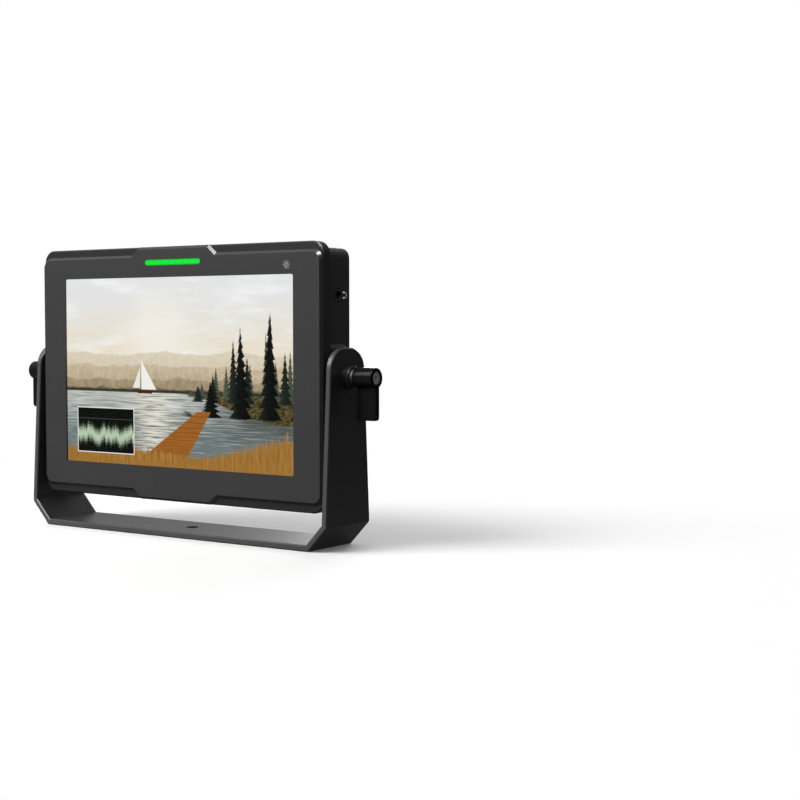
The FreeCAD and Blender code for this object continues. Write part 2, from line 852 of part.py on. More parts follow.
def heat_sink():
    plug = slab(0, pivot_height, 2 * sink_plug_half_width, 2 * sink_plug_half_height,
                sink_base_y, housing_rear_y)
    pedestal = slab(0, chip_z, chip_size, chip_size, pad_rear_y, sink_base_y)
    sink = sink_body().fuse([plug, pedestal, waist_slope(), mirrored(waist_slope())]).removeSplitter()
    ring = rod_y(fan_opening_radius, 0, fan_z, sink_base_y - overrun, slot_floor_y)
    ring = ring.cut(rod_y(fan_core_radius, 0, fan_z, sink_base_y - overrun, slot_floor_y))
    cuts = [sink_end_wedge(-1), sink_end_wedge(1), ring,
            slab(0, pivot_height + label_rise, label_field_width(), label_height, slot_floor_y,
                 sink_rear_y + overrun)]
    cuts += [rod_y(vesa_hole_radius, x, z, housing_rear_y, sink_rear_y + overrun)
             for x, z in four_corners(vesa_spacing / 2, vesa_spacing / 2)]
    return sink.cut(cuts + fin_slots() + fin_gaps())


def label_plate():
    """Bare plate on the floor of the field between the fins."""
    return slab(0, pivot_height + label_rise, label_field_width() - 2 * fit_gap, label_height - 2 * fit_gap,
                slot_floor_y, slot_floor_y + label_plate_thickness)


def fan_frame():
    """Square frame with a round duct, a spoked back and the fixed shaft that the rotor turns on."""
    front_y = sink_base_y - fan_frame_depth
    back_y = front_y + fan_back_thickness
    frame = slab(0, fan_z, fan_frame_size, fan_frame_size, front_y, sink_base_y, fan_frame_corner_radius)
    duct = rod_y(fan_opening_radius, 0, fan_z, back_y, sink_base_y + overrun)
    inlet = rod_y(fan_inlet_outer_radius, 0, fan_z, front_y - overrun, back_y + overrun)
    inlet = inlet.cut(rod_y(fan_inlet_inner_radius, 0, fan_z, front_y - overrun, back_y + overrun))
    spokes = [slab(0, fan_z, fan_frame_size, fan_spoke_width, front_y - overrun, back_y + overrun),
              slab(0, fan_z, fan_spoke_width, fan_frame_size, front_y - overrun, back_y + overrun)]
    shaft = rod_y(fan_shaft_radius, 0, fan_z, front_y, sink_base_y - fan_rotor_gap)
    return frame.cut([duct, inlet.cut(spokes)]).fuse(shaft).removeSplitter()


def fan_rotor():
    """Hub with leaning blades, bored for the shaft."""
    y0 = sink_base_y - fan_frame_depth + fan_back_thickness + fan_rotor_gap
    y1 = sink_base_y - fan_rotor_gap
    hub = rod_y(fan_hub_radius, 0, fan_z, y0, y1)
    tip_radius = fan_opening_radius - fan_rotor_gap
    reach = rod_y(tip_radius, 0, fan_z, y0, y1)
    blades = []
    for number in range(fan_blade_count):
        blade = Part.makeBox(2 * fan_opening_radius, 2 * (y1 - y0), fan_blade_thickness,
                             V(0, y0 - (y1 - y0) / 2, fan_z - fan_blade_thickness / 2))
        middle = V(0, (y0 + y1) / 2, fan_z)
        blade.rotate(middle, RIGHT, fan_blade_lean)
        blade.rotate(middle, REAR, 360 / fan_blade_count * number)
        blades.append(blade.common(reach))
    rotor = hub.fuse(blades).removeSplitter()
    return rotor.cut(rod_y(fan_shaft_radius + fan_shaft_gap, 0, fan_z, y0 - overrun, y1 + overrun))


# Main board, its fixings and the processor

def standoff_places():
    """Three posts down each side of the board: near its top, near its bottom and halfway."""
    top = pivot_height + board_top - standoff_top_inset
    bottom = pivot_height - board_bottom + standoff_bottom_inset
    return [(side * standoff_x, z) for side in (-1, 1) for z in (top, (top + bottom) / 2, bottom)]


def main_board():
    height = board_top + board_bottom
    board = slab(0, pivot_height + (board_top - board_bottom) / 2, 2 * board_half_width, height,
                 board_front_y, board_rear_y)
    bay_half = fan_frame_size / 2 + board_fan_margin
    bay_top = fan_z + bay_half
    bay_bottom = pivot_height - board_bottom - overrun
    cuts = [slab(0, (bay_top + bay_bottom) / 2, 2 * bay_half, bay_top - bay_bottom,
                 board_front_y - overrun, board_rear_y + overrun)]
    cuts += [rod_y(board_screw_radius + fit_gap, x, z, board_front_y - overrun, board_rear_y + overrun)
             for x, z in standoff_places()]
    return board.cut(cuts)


def board_standoffs():
    posts = []
    for x, z in standoff_places():
        post = rod_y(standoff_radius, x, z, plate_rear_y, board_front_y)
        posts.append(post.cut(rod_y(board_screw_radius + fit_gap / 2, x, z,
                                    board_front_y - board_screw_bite, board_front_y + overrun)))
    return group(posts)


def board_screws():
    screws = []
    for x, z in standoff_places():
        head = rod_y(board_screw_head_radius, x, z, board_rear_y, board_rear_y + board_screw_head_height)
        shank = rod_y(board_screw_radius, x, z, board_front_y - board_screw_bite, board_rear_y)
        screws.append(head.fuse(shank))
    return group(screws)


def processor():
    return slab(0, chip_z, chip_size, chip_size, board_rear_y, chip_rear_y)


def thermal_pad():
    return slab(0, chip_z, chip_size, chip_size, chip_rear_y, pad_rear_y)


# Sockets

def bnc_heights():
    return [pivot_height + bnc_top - number * bnc_pitch for number in range(bnc_count)]


def bnc_shell(z):
    """Turned shell from the board to the open barrel, with two bayonet lugs."""
    tip_y = housing_rear_y + bnc_length
    barrel_y = tip_y - bnc_barrel_length
    thread_end = housing_rear_y + bnc_washer_thickness + bnc_nut_thickness
    lug_y = tip_y - bnc_lug_setback
    parts = [rod_y(bnc_thread_radius, bnc_x, z, board_rear_y, thread_end),
             rod_y(bnc_neck_radius, bnc_x, z, board_rear_y, tip_y),
             rod_y(bnc_barrel_radius, bnc_x, z, barrel_y, tip_y),
             rod_x(bnc_lug_radius, bnc_x - bnc_lug_reach, bnc_x + bnc_lug_reach, lug_y, z)]
    shell = rod_y(bnc_body_radius, bnc_x, z, board_rear_y, housing_inner_y).fuse(parts).removeSplitter()
    return shell.cut(rod_y(bnc_bore_radius, bnc_x, z, tip_y - bnc_bore_depth, tip_y + overrun))


def bnc_insulator(z):
    """Plug in the floor of the barrel, with a sleeve round the centre contact."""
    tip_y = housing_rear_y + bnc_length
    floor_y = tip_y - bnc_bore_depth
    plug = rod_y(bnc_bore_radius - fit_gap / 2, bnc_x, z, floor_y, floor_y + bnc_plug_floor)
    sleeve = rod_y(bnc_sleeve_radius, bnc_x, z, floor_y, tip_y - bnc_sleeve_setback)
    return plug.fuse(sleeve).removeSplitter().cut(bnc_contact_envelope(z, fit_gap / 2))


def bnc_contact_envelope(z, gap=0):
    tip_y = housing_rear_y + bnc_length - bnc_sleeve_setback + bnc_contact_proud
    return rod_y(bnc_contact_radius + gap, bnc_x, z, tip_y - bnc_contact_length, tip_y)


def bnc_contact(z):
    tip_y = housing_rear_y + bnc_length - bnc_sleeve_setback + bnc_contact_proud
    hole = rod_y(bnc_contact_bore, bnc_x, z, tip_y - bnc_contact_length / 2, tip_y + overrun)
    return bnc_contact_envelope(z).cut(hole)


def bnc_washer(z):
    y1 = housing_rear_y + bnc_washer_thickness
    hole = rod_y(bnc_thread_radius + fit_gap / 2, bnc_x, z, housing_rear_y, y1)
    return rod_y(bnc_washer_radius, bnc_x, z, housing_rear_y, y1).cut(hole)


def bnc_nut(z):
    y0 = housing_rear_y + bnc_washer_thickness
    y1 = y0 + bnc_nut_thickness
    hole = rod_y(bnc_thread_radius + fit_gap / 2, bnc_x, z, y0, y1)
    return rod_y(bnc_nut_radius, bnc_x, z, y0, y1).cut(hole)


def hdmi_heights():
    return [pivot_height + bezel_height * share for share in hdmi_rise_shares]


def hdmi_outline(x, z, grow=0):
    """Flat socket outline: a rectangle whose lower corners are cut off."""
    half_width = hdmi_width / 2 + grow
    half_height = hdmi_height / 2 + grow
    right = [(x + half_width - hdmi_corner, z - half_height),
             (x + half_width, z - half_height + hdmi_corner),
             (x + half_width, z + half_height)]
    return right + [(2 * x - px, pz) for px, pz in reversed(right)]


def hdmi_shell(z):
    tip_y = housing_rear_y + hdmi_proud
    outer = prism_y(hdmi_outline(hdmi_x, z), board_rear_y, tip_y)
    inner = prism_y(hdmi_outline(hdmi_x, z, -hdmi_wall), board_rear_y + socket_floor, tip_y + overrun)
    return outer.cut(inner)


def hdmi_tongue(z):
    tip_y = housing_rear_y + hdmi_proud - hdmi_tongue_setback
    return slab(hdmi_x, z, hdmi_tongue_width, hdmi_tongue_thickness, board_rear_y + socket_floor, tip_y)


def usb_shell():
    tip_y = housing_rear_y + usb_proud
    outer = slab(usb_x, usb_z, usb_width, usb_height, board_rear_y, tip_y, usb_corner_radius)
    inner = slab(usb_x, usb_z, usb_width - 2 * usb_wall, usb_height - 2 * usb_wall,
                 board_rear_y + socket_floor, tip_y + overrun)
    return outer.cut(inner)


def usb_tongue():
    tip_y = housing_rear_y + usb_proud - usb_tongue_setback
    return slab(usb_x, usb_z + usb_tongue_rise, usb_tongue_width, usb_tongue_thickness,
                board_rear_y + socket_floor, tip_y)


def tally_jack():
    z = tally_jack_z
    tip_y = housing_rear_y + jack_proud
    body = slab(tally_jack_x, z, jack_body_size, jack_body_size, board_rear_y, housing_inner_y)
    neck = rod_y(jack_neck_radius, tally_jack_x, z, board_rear_y, tip_y)
    bore = rod_y(jack_bore_radius, tally_jack_x, z, tip_y - jack_bore_depth, tip_y + overrun)
    return body.fuse(neck).removeSplitter().cut(bore)


def headphone_jack():
    """Jack on the right side wall, lying on the board, with its mouth flush with the wall."""
    z = phone_jack_z
    inner_x = housing_width / 2 - housing_wall
    tip_x = housing_width / 2
    body = Part.makeBox(phone_jack_length, phone_jack_body_depth, phone_jack_body_height,
                        V(inner_x - phone_jack_length, board_rear_y, z - phone_jack_body_height / 2))
    neck = rod_x(jack_neck_radius, inner_x - phone_jack_length / 2, tip_x, phone_jack_y, z)
    neck = neck.common(Part.makeBox(phone_jack_length, 2 * phone_jack_body_depth, 2 * phone_jack_body_height,
                                    V(inner_x - phone_jack_length / 2, board_rear_y,
                                      z - phone_jack_body_height)))
    bore = rod_x(jack_bore_radius, tip_x - jack_bore_depth, tip_x + overrun, phone_jack_y, z)
    return body.fuse(neck).removeSplitter().cut(bore)


def dc_jack():
    tip_y = housing_rear_y + dc_proud
    body = slab(dc_x, dc_z, dc_body_size, dc_body_size, board_rear_y, housing_inner_y)
    neck = rod_y(dc_thread_radius, dc_x, dc_z, board_rear_y, tip_y)
    bore = rod_y(dc_bore_radius, dc_x, dc_z, tip_y - dc_bore_depth, tip_y + overrun)
    return body.fuse(neck).removeSplitter().cut(bore)


def dc_nut():
    """Hexagon nut with its outer corners turned off."""
    y1 = housing_rear_y + dc_nut_thickness
    corner_radius = dc_nut_across / 2 / math.cos(math.pi / hexagon_side_count)
    nut = hexagon(corner_radius, dc_x, dc_z, housing_rear_y, y1)
    turned = Part.makeCone(corner_radius + dc_nut_thickness, dc_nut_across / 2, dc_nut_thickness,
                           V(dc_x, housing_rear_y, dc_z), REAR)
    hole = rod_y(dc_thread_radius + fit_gap / 2, dc_x, dc_z, housing_rear_y - overrun, y1 + overrun)
    return nut.common(turned).cut(hole)


def dc_pin():
    tip_y = housing_rear_y + dc_proud
    return rod_y(dc_pin_radius, dc_x, dc_z, tip_y - dc_bore_depth, tip_y - dc_pin_setback)


# Rocker switch

def switch_frame():
    """Switch body with its front flange, hollow for the rocker, with holes for the trunnions."""
    tip_y = housing_rear_y + switch_flange_thickness
    flange = slab(rocker_x, rocker_z, switch_flange_width, switch_flange_height, housing_rear_y, tip_y)
    body = slab(rocker_x, rocker_z, switch_body_width, switch_body_height, board_rear_y, tip_y)
    well = slab(rocker_x, rocker_z, rocker_width + 2 * rocker_side_gap,
                2 * (rocker_half_length + rocker_end_gap), board_rear_y + switch_floor, tip_y + overrun)
    reach = rocker_width / 2 + trunnion_length + trunnion_gap
    hole = rod_x(trunnion_radius + trunnion_gap, rocker_x - reach, rocker_x + reach,
                 rocker_pivot_y, rocker_z)
    return body.fuse(flange).removeSplitter().cut([well, hole])


def power_rocker():
    """Rocker with two faces in a shallow V, tipped so that the upper half is pressed in."""
    rise = rocker_half_length * math.tan(math.radians(rocker_swing))
    lower = [(rocker_centre_height + rise, -rocker_half_length), (-rocker_skirt, -rocker_half_length),
             (-rocker_foot_depth, -rocker_foot_half_length)]
    upper = [(y, -z) for y, z in reversed(lower)]
    outline = [(rocker_centre_height, 0)] + lower + upper
    body = prism_x([(rocker_pivot_y + y, rocker_z + z) for y, z in outline],
                   rocker_x - rocker_width / 2, rocker_x + rocker_width / 2)
    reach = rocker_width / 2 + trunnion_length
    pin = rod_x(trunnion_radius, rocker_x - reach, rocker_x + reach, rocker_pivot_y, rocker_z)
    rocker = body.fuse(pin).removeSplitter()
    rocker.rotate(V(rocker_x, rocker_pivot_y, rocker_z), RIGHT, rocker_swing)
    return rocker


# Buttons along the top

def button_places():
    """Name of each button with its place."""
    places = {}
    for number, name in enumerate(("menu_button", "left_button", "right_button", "exit_button")):
        places[name] = menu_button_x - number * button_pitch
    places["function_button"] = function_button_x
    places["input_button"] = function_button_x - button_pitch
    places["power_button"] = power_button_x
    return places


def button(x):
    """Cap with a crowned top, a flange that holds it under the wall and a stem over the switch."""
    flange_top = housing_ceiling_z - fit_gap
    flange_z = flange_top - button_flange_thickness
    top_z = housing_top_z + button_proud
    cap = Part.makeBox(button_length, button_width, top_z - flange_z,
                       V(x - button_length / 2, button_y - button_width / 2, flange_z))
    cap = cap.makeFillet(button_corner_radius, edges_along(cap, UP))
    rim = [e for e in cap.Edges if abs(e.BoundBox.ZMin - top_z) < plane_tolerance]
    cap = cap.makeFillet(button_crown, rim)
    length = button_length + 2 * button_flange
    width = button_width + 2 * button_flange
    flange = Part.makeBox(length, width, button_flange_thickness,
                          V(x - length / 2, button_y - width / 2, flange_z))
    stem = rod_z(button_stem_radius, x, button_y, tact_top_z + button_travel + button_rest_gap, flange_top)
    return cap.fuse([flange, stem]).removeSplitter()


def button_board():
    return Part.makeBox(2 * button_board_half_length, button_board_depth, button_board_thickness,
                        V(-button_board_half_length, housing_inner_y - fit_gap - button_board_depth,
                          button_board_z - button_board_thickness))


def tact_switches():
    return group([Part.makeBox(tact_length, tact_width, tact_height,
                               V(x - tact_length / 2, button_y - tact_width / 2, button_board_z))
                  for x in button_places().values()])


def speaker():
    """Flat speaker against the rear wall, with a dished cone and a magnet behind it."""
    x = -vent_centre_x
    z = pivot_height + vent_centre_z
    y0 = housing_inner_y - speaker_depth
    basket = slab(x, z, speaker_width, speaker_height, y0, housing_inner_y, speaker_corner_radius)
    magnet = rod_y(speaker_magnet_radius, x, z, y0 - speaker_magnet_depth, y0)
    cone = Part.makeCone(speaker_magnet_radius / 2, speaker_cone_radius, speaker_cone_depth,
                         V(x, housing_inner_y - speaker_cone_depth, z), REAR)
    return basket.fuse(magnet).removeSplitter().cut(cone)


# Tilt clamps, right-hand side; the left-hand pieces are their mirror images

def clamp_collar():
    collar = rod_x(collar_radius, collar_x, collar_x + collar_length)
    collar = collar.makeFillet(hub_edge_radius, edges_at_x(collar, collar_x + collar_length))
    hole = rod_x(stud_radius + turning_gap, collar_x - overrun, collar_x + collar_length + overrun)
    return collar.cut(hole)


def clamp_stud():
    ring = rod_x(stud_ring_radius, stud_ring_x, hub_x)
    stud = rod_x(stud_radius, stud_start_x, stud_end_x).fuse(ring).removeSplitter()
    thread = rod_x(cap_screw_thread_radius + fit_gap / 2, stud_end_x - cap_screw_bite, stud_end_x + overrun)
    return stud.cut(thread)


def clamp_lever():
    """Round hub with a flat flag hanging from it."""
    hub = rod_x(hub_radius, hub_x, hub_end_x)
    hub = hub.makeFillet(hub_edge_radius, edges_at_x(hub, hub_end_x))
    flag_top_z = pivot_height - lever_drop
    flag = Part.makeBox(lever_width, lever_thickness, lever_length - lever_drop,
                        V(hub_x + fit_gap, -lever_thickness / 2, pivot_height - lever_length))
    low = [e for e in edges_along(flag, REAR) if e.CenterOfMass.z < pivot_height - lever_length / 2]
    flag = flag.makeFillet(lever_corner_radius, low)
    faces = [e for e in edges_across(flag, REAR) if e.BoundBox.ZMin < flag_top_z - plane_tolerance]
    flag = flag.makeChamfer(lever_bevel, faces)
    lever = hub.fuse(flag).removeSplitter()
    cuts = [rod_x(stud_radius + fit_gap / 2, hub_x - overrun, stud_end_x),
            rod_x(cap_screw_thread_radius + fit_gap, hub_x, hub_end_x),
            rod_x(cap_screw_radius + fit_gap, cap_seat_x, hub_end_x + overrun)]
    return lever.cut(cuts)


def clamp_cap_screw():
    head_end = hub_end_x - cap_screw_inset
    head = rod_x(cap_screw_radius, cap_seat_x, head_end)
    head = head.cut(rod_x(cap_socket_radius, head_end - cap_socket_depth, head_end + overrun))
    shank = rod_x(cap_screw_thread_radius, stud_end_x - cap_screw_bite + fit_gap, cap_seat_x)
    return head.fuse(shank).removeSplitter()


def save_both_sides(node, shape):
    save(node + "_right", shape)
    save(node + "_left", mirrored(shape))


def main():
    os.makedirs("parts", exist_ok=True)
    save("u_bracket", u_bracket())
    save("friction_washers", friction_washers())
    save("front_bezel", front_bezel())
    save("cover_glass", screen_layer(glass_y, lcd_y))
    save("lcd_panel", screen_layer(lcd_y, backlight_y))
    save("backlight_unit", screen_layer(backlight_y, bezel_rear_y))
    save("panel_plate", panel_plate())
    save("panel_screws", panel_screws())
    save("tally_light_bar", tally_light_bar())
    save("tally_led_board", tally_led_board())
    save("rear_housing", rear_housing())
    save("pivot_inserts", pivot_inserts())
    save("case_screws", case_screws())
    save("heat_sink", heat_sink())
    save("label_plate", label_plate())
    save("fan_frame", fan_frame())
    save("fan_rotor", fan_rotor())
    save("main_board", main_board())
    save("board_standoffs", board_standoffs())
    save("board_screws", board_screws())
    save("processor", processor())
    save("thermal_pad", thermal_pad())
    for number, z in enumerate(bnc_heights(), 1):
        save("bnc_shell_%d" % number, bnc_shell(z))
    save("bnc_insulators", group([bnc_insulator(z) for z in bnc_heights()]))
    save("bnc_contacts", group([bnc_contact(z) for z in bnc_heights()]))
    save("bnc_washers", group([bnc_washer(z) for z in bnc_heights()]))
    save("bnc_nuts", group([bnc_nut(z) for z in bnc_heights()]))
    save("hdmi_shells", group([hdmi_shell(z) for z in hdmi_heights()]))
    save("hdmi_tongues", group([hdmi_tongue(z) for z in hdmi_heights()]))
    save("usb_shell", usb_shell())
    save("usb_tongue", usb_tongue())
    save("tally_jack", tally_jack())
    save("headphone_jack", headphone_jack())
    save("dc_jack", dc_jack())
    save("dc_nut", dc_nut())
    save("dc_pin", dc_pin())
    save("switch_frame", switch_frame())
    save("power_rocker", power_rocker())
    for name, x in button_places().items():
        save(name, button(x))
    save("button_board", button_board())
    save("tact_switches", tact_switches())
    save("speaker", speaker())
    save_both_sides("clamp_collar", clamp_collar())
    save_both_sides("clamp_stud", clamp_stud())
    save_both_sides("clamp_lever", clamp_lever())
    save_both_sides("clamp_cap_screw", clamp_cap_screw())


main()
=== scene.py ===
# %% [markdown]
# # A camera field monitor in its U bracket
# The solids come from the CAD pack, already in place and in metres. This lesson dresses them: it sets the
# camera and the light, writes each finish as shader nodes, and adds the small pieces that are too fine for
# the CAD model, such as printed marks, spring contacts and thread turns.

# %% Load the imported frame
import math
import bpy
import numpy as np
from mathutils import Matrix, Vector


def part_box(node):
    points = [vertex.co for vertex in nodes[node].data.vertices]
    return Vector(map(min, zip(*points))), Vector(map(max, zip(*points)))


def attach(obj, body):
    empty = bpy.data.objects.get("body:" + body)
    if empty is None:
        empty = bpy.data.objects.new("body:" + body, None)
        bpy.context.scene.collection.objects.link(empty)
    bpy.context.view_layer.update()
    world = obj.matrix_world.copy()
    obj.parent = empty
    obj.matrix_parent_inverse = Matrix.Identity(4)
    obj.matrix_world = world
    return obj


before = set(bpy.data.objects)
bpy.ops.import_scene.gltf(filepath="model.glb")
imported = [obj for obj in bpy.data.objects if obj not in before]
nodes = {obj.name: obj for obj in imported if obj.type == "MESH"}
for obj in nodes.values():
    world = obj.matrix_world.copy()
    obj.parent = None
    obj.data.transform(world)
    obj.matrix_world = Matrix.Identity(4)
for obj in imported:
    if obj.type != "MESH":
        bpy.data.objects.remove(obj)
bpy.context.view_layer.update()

scene = bpy.context.scene
scene.view_settings.view_transform = "Standard"
MM = 0.001

# %% [markdown]
# ## Measures from the frame
# What is added here sits on the CAD solids, so its place is worked out from their boxes instead of being
# typed. The levels below, in millimetres, are the ones that the finishes and the marks refer to.

# %% Levels
def span(node):
    """Lowest and highest corner of a CAD node, in millimetres."""
    return [np.array(corner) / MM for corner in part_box(node)]


def centre(node):
    return sum(span(node)) / 2


pivot_mm = centre("clamp_stud_right")[2]
face_mm = span("front_bezel")[0][1]
rear_mm = span("rear_housing")[1][1]
side_mm = span("headphone_jack")[1][0]
print("pivot %.1f, face %.1f, rear %.1f, side %.1f" % (pivot_mm, face_mm, rear_mm, side_mm))

# %% [markdown]
# ## Camera
# A photograph fixes a camera completely once a few true sizes in it are known. Here the panel's 16:10
# picture and the bracket gave the place, the heading and the focal length in pixels. A lens in millimetres
# is that length in pixels over the picture's width, times the sensor's width.

# %% Camera
picture_width_px, focal_px = 800, 1485
camera_place_m = (0.5045, -0.5552, 0.1039)
dip_deg, heading_deg = 2.84, 34.26
lens = bpy.data.cameras.new("photo_camera")
lens.sensor_width = 36.0
lens.lens = focal_px / picture_width_px * lens.sensor_width
camera = bpy.data.objects.new("photo_camera", lens)
camera.location = camera_place_m
camera.rotation_euler = (math.radians(90 - dip_deg), 0, math.radians(heading_deg))
scene.collection.objects.link(camera)
scene.camera = camera
print("lens %.1f mm" % lens.lens)

# %% [markdown]
# ## A small language for shader nodes
# Node trees are sums drawn as boxes. Writing them as Python sums is shorter: a Signal wraps one output
# socket, and each operator adds a Math node. Every other node comes from one method, Graph.make, which
# takes the node's type, its settings and then the values or links of its sockets.

# %% Signals
class Signal:
    """One output socket. An operator on signals or numbers adds a Math node and returns its output."""

    def __init__(self, graph, socket):
        self.graph, self.socket = graph, socket

    def math(self, operation, *others):
        return self.graph.make("ShaderNodeMath", {"operation": operation}, dict(enumerate((self, *others))))

    def after(self, operation, first):
        return self.graph.make("ShaderNodeMath", {"operation": operation}, {0: first, 1: self})

    def __add__(self, other):
        return self.math("ADD", other)

    def __sub__(self, other):
        return self.math("SUBTRACT", other)

    def __rsub__(self, other):
        return self.after("SUBTRACT", other)

    def __mul__(self, other):
        return self.math("MULTIPLY", other)

    def __truediv__(self, other):
        return self.math("DIVIDE", other)

    def __rtruediv__(self, other):
        return self.after("DIVIDE", other)

    def __abs__(self):
        return self.math("ABSOLUTE")

    __radd__, __rmul__ = __add__, __mul__

    def hypot(self, other):
        """Length of a slant: the square root of the sum of both squares."""
        return (self * self + other * other).math("SQRT")


# %% Graphs
class Graph:
    """The nodes of one material or of the world."""

    def __init__(self, tree):
        self.tree = tree
        tree.nodes.clear()

    def make(self, kind, settings=None, sockets=None, output=0):
        """Adds a node: its settings first, then a value or a link for each socket; returns one output."""
        node = self.tree.nodes.new(kind)
        for key, value in (settings or {}).items():
            setattr(node, key, value)
        for key, value in (sockets or {}).items():
            if isinstance(value, Signal):
                self.tree.links.new(value.socket, node.inputs[key])
            else:
                node.inputs[key].default_value = value
        return Signal(self, node.outputs[output]) if len(node.outputs) else node

    def split(self, vector):
        """The three numbers of a vector."""
        parts = self.make("ShaderNodeSeparateXYZ", sockets={0: vector}).socket.node
        return [Signal(self, socket) for socket in parts.outputs]

    def point(self):
        """The point in the piece's own coordinates, followed by its three numbers."""
        at = self.place()
        return (at, *self.split(at))

    def join(self, x, y, z):
        return self.make("ShaderNodeCombineXYZ", sockets={0: x, 1: y, 2: z})

    def place(self):
        """The point in the piece's own coordinates, which are the row frame in metres."""
        return self.make("ShaderNodeTexCoord", output="Object")

    def noise(self, at, scale, detail=2.0, rough=0.5):
        sockets = {"Vector": at, "Scale": scale, "Detail": detail, "Roughness": rough}
        return self.make("ShaderNodeTexNoise", sockets=sockets)

    def rings(self, along, pitch_mm):
        """Turned rings: a sine of the distance along an axis, brought to the range from 0 to 1."""
        return (along / MM * (2 * math.pi / pitch_mm)).math("SINE") * 0.5 + 0.5

    def rays(self):
        """Two masks: what the eye sees, straight or through glass, and what a glossy surface mirrors."""
        path = self.make("ShaderNodeLightPath").socket.node
        straight, through, mirrored = (Signal(self, path.outputs["Is %s Ray" % kind])
                                       for kind in ("Camera", "Transmission", "Glossy"))
        return straight.math("MAXIMUM", through), mirrored

    def ease(self, value, low, high):
        """0 below low, 1 above high and a smooth step between; low may be the larger."""
        sockets = {0: value, 1: low, 2: high}
        return self.make("ShaderNodeMapRange", {"interpolation_type": "SMOOTHSTEP"}, sockets)

    def mix(self, share, first, second):
        """Colour between first at 0 and second at 1, where a hex code stands for its tint."""
        first, second = (tint(colour) if isinstance(colour, str) else colour for colour in (first, second))
        return self.make("ShaderNodeMix", {"data_type": "RGBA"}, {0: share, 6: first, 7: second}, output=2)

    def bump(self, height, depth):
        """Relief of a height from 0 to 1 that stands for a depth in metres."""
        return self.make("ShaderNodeBump", sockets={"Strength": 1.0, "Distance": depth, "Height": height})


# %% Colours and materials
def tint(code, gain=1.0):
    """Hex code to linear colour: c / 12.92 below 0.04045, else ((c + 0.055) / 1.055) to the power 2.4."""
    channels = np.array([int(code[k:k + 2], 16) for k in (0, 2, 4)]) / 255
    curve = np.where(channels <= 0.04045, channels / 12.92, ((channels + 0.055) / 1.055) ** 2.4)
    return (*(float(c) for c in curve * gain), 1.0)


def material(name, build):
    """A material whose surface is the shader that build returns for a fresh graph."""
    made = bpy.data.materials.new(name)
    made.use_nodes = True
    graph = Graph(made.node_tree)
    graph.make("ShaderNodeOutputMaterial", sockets={"Surface": build(graph)})
    print("finish", name, "nodes", len(made.node_tree.nodes))
    return made


def principled(graph, base, rough, gloss=0.5, metal=0.0, relief=None, relief_mm=0.0, more=None):
    """Blender's general shader, with a relief of a depth in millimetres; more holds any other sockets."""
    sockets = {"Base Color": base, "Roughness": rough, "Specular IOR Level": gloss, "Metallic": metal}
    if relief is not None:
        sockets["Normal"] = graph.bump(relief, relief_mm * MM)
    return graph.make("ShaderNodeBsdfPrincipled", sockets={**sockets, **(more or {})})


# %% [markdown]
# ## Studio light
# The object stands in an even white studio. One large soft lamp is at the front left, one hangs overhead a
# little to the right, and one behind lights the sockets. The world is white to the eye, while what lights
# the object is dimmer, and dimmest from the right, where a studio has its dark side. That is what keeps the
# right flank nearly black.

# %% World
def studio(graph):
    """White to the eye. The light on the object is weak all round and stronger on the bright side, where matt
    surfaces get a high soft light and glossy ones a high one in front and a low one behind."""
    seen, mirrored = graph.rays()
    x, y, z = graph.split(graph.make("ShaderNodeTexCoord", output="Generated"))
    bright_side = graph.ease(x - 0.25 * z, 0.5, -0.05)
    high = graph.ease(z, 0.0, 0.5)
    behind = graph.ease(y, 0.0, 0.5)
    low = graph.ease(z, 0.40, 0.10)
    matt_light = 0.24 * high
    glossy_light = 0.54 * high * (1 - behind) + 0.40 * behind * low
    dark_side, all_round = 0.085, 0.18
    light = dark_side + bright_side * (all_round + matt_light * (1 - mirrored) + glossy_light * mirrored)
    strength = light * (1 - seen) + seen
    return graph.make("ShaderNodeBackground", sockets={"Color": (1, 1, 1, 1), "Strength": strength})


scene.world = bpy.data.worlds.new("studio")
scene.world.use_nodes = True
sky = Graph(scene.world.node_tree)
sky.make("ShaderNodeOutputWorld", sockets={"Surface": studio(sky)})
print("world nodes", len(scene.world.node_tree.nodes))


# %% Lamps
def soft_lamp(name, place, aim, size, watts, only_glints=False):
    """A square lamp at place that looks at aim: its -Z axis is turned to the aim."""
    data = bpy.data.lights.new(name, "AREA")
    data.size, data.energy = size, watts
    lamp = bpy.data.objects.new(name, data)
    lamp.location = place
    heading = np.subtract(aim, place)
    turn = math.atan2(heading[0], -heading[1])
    tip = math.acos(-heading[2] / np.linalg.norm(heading))
    lamp.rotation_euler = (tip, 0, turn + math.pi)
    lamp.visible_diffuse = not only_glints
    scene.collection.objects.link(lamp)
    print(name, "at", place, watts, "W")


middle = (0, 0, 0.08)
soft_lamp("key_lamp", (-0.65, -1.00, 1.15), middle, 1.0, 22)
soft_lamp("overhead_lamp", (0.38, -0.68, 1.36), middle, 0.36, 34, only_glints=True)
soft_lamp("rear_lamp", (-0.45, 1.40, 0.28), middle, 0.8, 20)

# %% [markdown]
# ## Floor
# The floor is a disc, a function of radius and angle. It keeps the object's shadow near the middle and
# fades to the white of the world further out, so that no horizon shows.


# %% Grids
def grid_faces(rows, columns, wrap_rows=False, wrap_columns=False):
    """Quads between neighbours on a grid; where it wraps, the last row or column joins the first."""
    r = np.arange(rows if wrap_rows else rows - 1)[:, None]
    c = np.arange(columns if wrap_columns else columns - 1)[None, :]
    r2, c2 = (r + 1) % rows, (c + 1) % columns
    corners = [r * columns + c, r * columns + c2, r2 * columns + c2, r2 * columns + c]
    quads = np.stack([np.broadcast_to(k, (r.size, c.size)) for k in corners], axis=-1)
    return quads.reshape(-1, 4).tolist()


